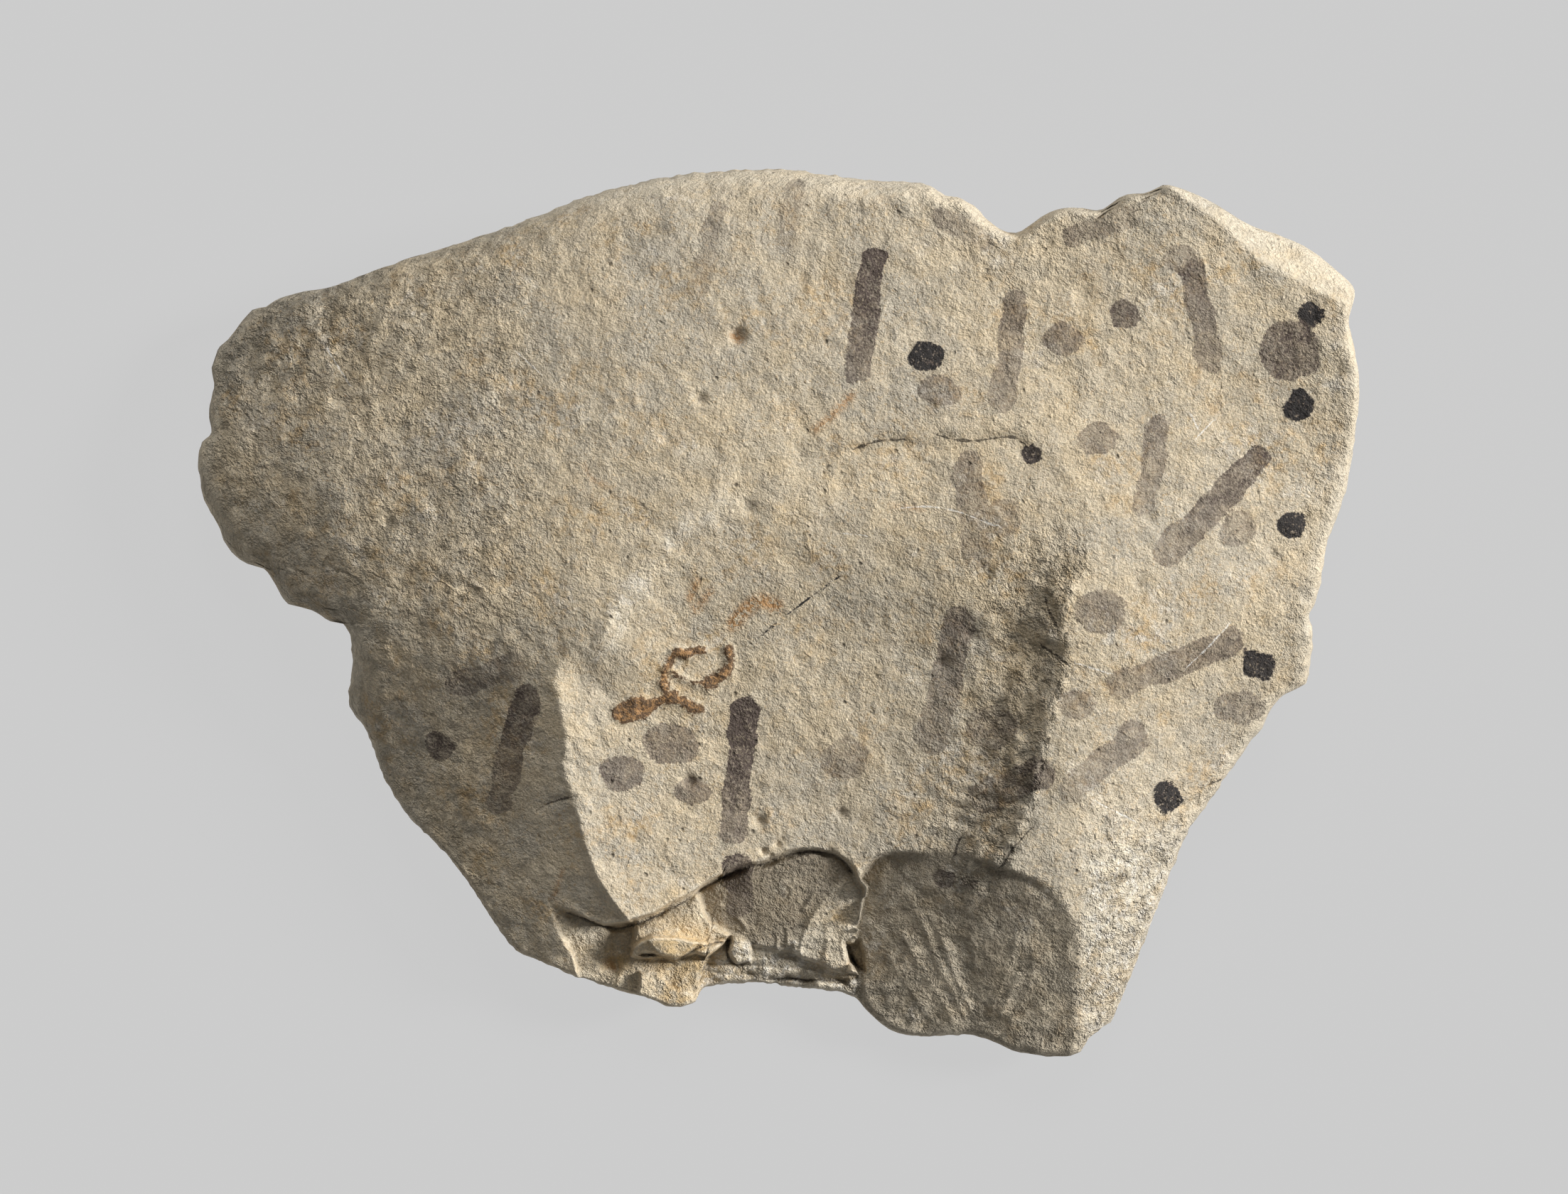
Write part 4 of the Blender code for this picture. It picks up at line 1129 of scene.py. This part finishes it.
def grain_group():
    """Height of the grain in millimetres. Where the face is rough, tilted shards stand out as well."""
    tree, given, out = new_group(
        "limestone grain", {"Roughness": ("NodeSocketFloat", 1.0)},
        {"Height": "NodeSocketFloat", "Pit": "NodeSocketFloat"})
    place = millimetres(tree)
    bend = vector_node(tree, "SCALE", noise(tree, place, 1.4, 2.0, output="Color"), 0.5)
    bent = vector_node(tree, "ADD", place, bend)
    # The pattern is turned, so that its own grid doesn't line up with the face.
    turn = [math.radians(angle) for angle in (28, 23, 35)]
    turned = add_node(tree, "ShaderNodeMapping", {"Vector": bent, "Rotation": turn}).outputs["Vector"]
    hackly = varied(tree, turned, HACKLY, 4.0, 0.76)
    patchy = spread(tree, noise(tree, place, 2.2, 3.0, 0.6), 0.35, 0.65, 0.95, 1.50)
    shard, chip = tilted_chips(tree, turned, SHARD), tilted_chips(tree, turned, CHIP)
    pit = scattered_spots(tree, bent, PITS_APART, 0.16)
    lump = scattered_spots(tree, turned, LUMPS_APART, 0.20)
    rough = given.outputs["Roughness"]
    broken_up = math_node(tree, "MAXIMUM", math_node(tree, "SUBTRACT", rough, 0.75), 0.0)
    chipped = plus(tree, times(tree, chip, rough, 0.10), times(tree, shard, broken_up, 0.8))
    spots = plus(tree, times(tree, lump, 0.10), times(tree, pit, -0.20))
    height = plus(tree, times(tree, hackly, patchy, rough), chipped, spots)
    tree.links.new(height, out.inputs["Height"])
    tree.links.new(pit, out.inputs["Pit"])
    return tree


GRAIN = grain_group()
print("group:", GRAIN.name)

# %% Group: drifting colour of the stone
TAN = (0.615, 0.496, 0.330, 1)
GREY = (0.440, 0.385, 0.300, 1)
OCHRE = (0.520, 0.340, 0.150, 1)
OCHRE_FILM = (0.680, 0.470, 0.220, 1)
CREAM = (0.730, 0.645, 0.500, 1)
PATINA_AND_SHADE = (0.300, 0.252, 0.185, 1)
SCUFF_AND_LIGHT = (0.860, 0.830, 0.770, 1)
RUST = (0.430, 0.225, 0.085, 1)
DARK_RUST = (0.110, 0.058, 0.028, 1)


def colour_group():
    tree, given, out = new_group(
        "limestone colour", {"Pale and lit": ("NodeSocketFloat", 0.0), "Patina and shade": ("NodeSocketFloat", 0.0),
                             "Ochre film": ("NodeSocketFloat", 0.0), "Chalky and lit": ("NodeSocketFloat", 0.0),
                             "Height": ("NodeSocketFloat", 0.0)}, {"Color": "NodeSocketColor"})
    place = millimetres(tree)

    def patch(size, detail, roughness, low, high):
        return fade(tree, noise(tree, place, size, detail, roughness), low, high)

    broad, mottled = patch(24, 3.0, 0.55, 0.42, 0.60), patch(4.5, 5.0, 0.75, 0.46, 0.56)
    colour = blend(tree, times(tree, plus(tree, broad, mottled), 0.5), TAN, GREY)
    stain = times(tree, patch(8, 4.0, 0.6, 0.48, 0.66), patch(1.4, 4.0, 0.7, 0.42, 0.62))
    colour = blend(tree, times(tree, stain, 0.8), colour, OCHRE)
    rare = patch(0.9, 3.0, 0.7, 0.70, 0.76)
    colour = blend(tree, times(tree, rare, 0.7), colour, RUST)
    gather = times(tree, patch(6.0, 3.0, 0.6, 0.35, 0.65), 0.45)
    speck = times(tree, patch(0.50, 3.0, 0.7, 0.56, 0.66), plus(tree, gather, 0.25))
    colour = blend(tree, speck, colour, OCHRE)
    # Patina, and painted shade on the scar, on the tongue under the lip and at the hollow's foot.
    colour = blend(tree, times(tree, given.outputs["Patina and shade"], 0.85), colour, PATINA_AND_SHADE)
    # Paler where the stone is fresh, and painted light on the lower right and the bevel.
    pale = times(tree, given.outputs["Pale and lit"], patch(3.0, 4.0, 0.6, 0.25, 0.6), 0.8)
    colour = blend(tree, pale, colour, CREAM)
    film = times(tree, given.outputs["Ochre film"], patch(1.6, 4.0, 0.65, 0.35, 0.6), 0.7)
    colour = blend(tree, film, colour, OCHRE_FILM)
    # Grey-white scuffs, with painted light on the lower right.
    grey_area = times(tree, patch(7.5, 4.0, 0.6, 0.56, 0.66), 0.55)
    chalk_and_light = math_node(tree, "ADD", given.outputs["Chalky and lit"], grey_area, clamp=True)
    colour = blend(tree, times(tree, chalk_and_light, patch(1.2, 4.0, 0.7, 0.50, 0.56), 0.40), colour, SCUFF_AND_LIGHT)
    # Painted shade and light in the grain: its dips darker and its tops lighter.
    grain_shade = spread(tree, given.outputs["Height"], -0.18, 0.18, 0.86, 1.10)
    fine = spread(tree, noise(tree, place, 0.34, 3.0, 0.8), 0.35, 0.65, 0.76, 1.20)
    toned = vector_node(tree, "SCALE", colour, times(tree, grain_shade, fine))
    tree.links.new(toned, out.inputs["Color"])
    return tree


COLOUR = colour_group()
print("group:", COLOUR.name)

# %% Group: a mask cut from a distance
def mask_group():
    tree, given, out = new_group(
        "ragged mask", {"Edge": ("NodeSocketFloat", 9.0), "Softness": ("NodeSocketFloat", 0.2),
                        "Ragged": ("NodeSocketFloat", 0.4)}, {"Mask": "NodeSocketFloat"})
    place = millimetres(tree)
    wander = times(tree, varied(tree, place, 0.6, 4.0, 0.75), given.outputs["Ragged"])
    edge = plus(tree, given.outputs["Edge"], wander)
    ratio = math_node(tree, "DIVIDE", edge, given.outputs["Softness"])
    tree.links.new(fade(tree, ratio, 1.0, -1.0), out.inputs["Mask"])
    return tree


MASK = mask_group()
print("group:", MASK.name)

# %% [markdown]
# ## The stone's material
# The grain group gives a height for the bump, and its dips get painted shade. Over the drifting stone colour lie the
# rust, the thin ink, the near-black dots, fine scratches and painted shade in the cracks, gaps and pits. Ink sinks
# into the dips and wears off the high grains, so its strength follows the grain too.

# %% Material
INK = (0.110, 0.084, 0.070, 1)
BLACK_INK = (0.040, 0.036, 0.034, 1)
# Painted shade for the cracks, the gaps and the pits.
CREVICE_SHADE = (0.045, 0.036, 0.028, 1)
BUMP_DISTANCE = 1.0 * MM
# How far each edge is blurred and how far it wanders, in millimetres.
RUST_CUT = {"Softness": 0.6, "Ragged": 2.2}
VEIN_CUT = {"Softness": 0.14, "Ragged": 2.2}
INK_CUT = {"Softness": 0.10, "Ragged": 1.3}
# Half the width of each kind of line, and how near to its points it may lie.
LINES = {"scratch": (0.13, 0.9), "pencil": (0.16, 0.8), "crack": (0.20, 0.9), "gap": (0.24, 0.9)}


def thin_line(tree, name):
    """A fine line: near it by the plain distance, and cut from the sided one so that it stays even."""
    half, within = LINES[name]
    off = math_node(tree, "ABSOLUTE", attribute(tree, name + "_side"))
    waver = times(tree, varied(tree, millimetres(tree), 1.1, 4.0, 0.75), half * 5)
    line = fade(tree, plus(tree, off, waver), half, half * 0.3)
    return times(tree, line, fade(tree, attribute(tree, name + "_near"), within, within * 0.6))


def cut_mask(tree, edge, cut):
    return use_group(tree, MASK, {"Edge": attribute(tree, edge), **cut}).outputs["Mask"]


def with_iron(tree, place, colour):
    """Lays flaky rust smears and the darker veins over the stone."""
    flakes = fade(tree, noise(tree, place, 0.6, 4.0, 0.7), 0.40, 0.54)
    colour = blend(tree, times(tree, cut_mask(tree, "rust_edge", RUST_CUT), flakes, 0.9), colour, RUST)
    rusty = blend(tree, fade(tree, noise(tree, place, 0.6, 4.0, 0.75), 0.48, 0.58), DARK_RUST, RUST)
    return blend(tree, times(tree, cut_mask(tree, "vein_edge", VEIN_CUT), 0.9), colour, rusty)


def with_ink(tree, place, colour, height):
    """Lays the thin ink, worn on the high grains, and the flaking near-black dots."""
    strength = attribute(tree, "ink_strength")
    mark = cut_mask(tree, "ink_edge", INK_CUT)
    gritty = fade(tree, noise(tree, place, 0.3, 1.0, 0.6), 0.66, 0.40)
    worn = plus(tree, times(tree, fade(tree, height, 0.12, -0.12), 0.3), times(tree, gritty, 0.4), 0.74)
    patchy = spread(tree, noise(tree, place, 2.0, 4.0, 0.6), 0.35, 0.6, 0.75, 1.0)
    thin = times(tree, math_node(tree, "MINIMUM", times(tree, strength, 1.2), 1.0), worn, patchy)
    colour = blend(tree, math_node(tree, "MULTIPLY", mark, thin, clamp=True), colour, INK)
    flaking = fade(tree, noise(tree, place, 0.6, 4.0, 0.75), 0.60, 0.55)
    return blend(tree, times(tree, fade(tree, strength, 1.0, 1.9), mark, flaking), colour, BLACK_INK)


def with_lines(tree, place, colour, pit):
    """Lays the scratches, the pencil line and painted shade in the cracks, gaps and pits."""
    colour = blend(tree, times(tree, thin_line(tree, "scratch"), 0.6), colour, SCUFF_AND_LIGHT)
    dashes = fade(tree, noise(tree, place, 0.8, 2.0, 0.6), 0.42, 0.5)
    colour = blend(tree, times(tree, thin_line(tree, "pencil"), dashes), colour, BLACK_INK)
    # Painted shade along the cracks and gaps and in the pits.
    colour = blend(tree, times(tree, thin_line(tree, "crack"), 0.8), colour, CREVICE_SHADE)
    uneven = spread(tree, noise(tree, place, 2.2, 3.0, 0.7), 0.40, 0.55, 0.25, 0.9)
    colour = blend(tree, times(tree, thin_line(tree, "gap"), uneven), colour, CREVICE_SHADE)
    return blend(tree, times(tree, pit, 0.35), colour, CREVICE_SHADE)


def limestone_material():
    material = bpy.data.materials.new("limestone")
    material.use_nodes = True
    tree = material.node_tree
    shader = tree.nodes["Principled BSDF"]
    place = millimetres(tree)
    grain = use_group(tree, GRAIN, {"Roughness": attribute(tree, "rough")})
    height, pit = grain.outputs["Height"], grain.outputs["Pit"]
    maps = {"Pale and lit": "pale", "Patina and shade": "patina_and_shade", "Ochre film": "ochre_film", "Chalky and lit": "chalky_and_lit"}
    given = {label: attribute(tree, name) for label, name in maps.items()}
    colour = use_group(tree, COLOUR, {**given, "Height": height}).outputs["Color"]
    crest = attribute(tree, "crest")
    colour = blend(tree, times(tree, fade(tree, crest, 0.05, 0.5), 0.45), colour, CREAM)
    colour = blend(tree, times(tree, fade(tree, crest, -0.05, -0.6), 0.55), colour, PATINA_AND_SHADE)
    colour = with_iron(tree, place, colour)
    colour = with_ink(tree, place, colour, height)
    colour = with_lines(tree, place, colour, pit)
    tree.links.new(colour, shader.inputs["Base Color"])
    shader.inputs["Roughness"].default_value = 0.92
    shader.inputs["Specular IOR Level"].default_value = 0.25
    bump = add_node(tree, "ShaderNodeBump", {"Height": height, "Distance": BUMP_DISTANCE, "Strength": 1.0})
    tree.links.new(bump.outputs["Normal"], shader.inputs["Normal"])
    return material


mesh.materials.append(limestone_material())
print("materials:", [m.name for m in mesh.materials])

# %% [markdown]
# ## The finished piece
# The stone takes the place of the CAD solid and moves with its only body.

# %% Stone
stone = bpy.data.objects.new("limestone_stone", mesh)
bpy.context.scene.collection.objects.link(stone)
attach(stone, "root")
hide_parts("limestone_flake")

# %% Sizes
bpy.context.view_layer.update()
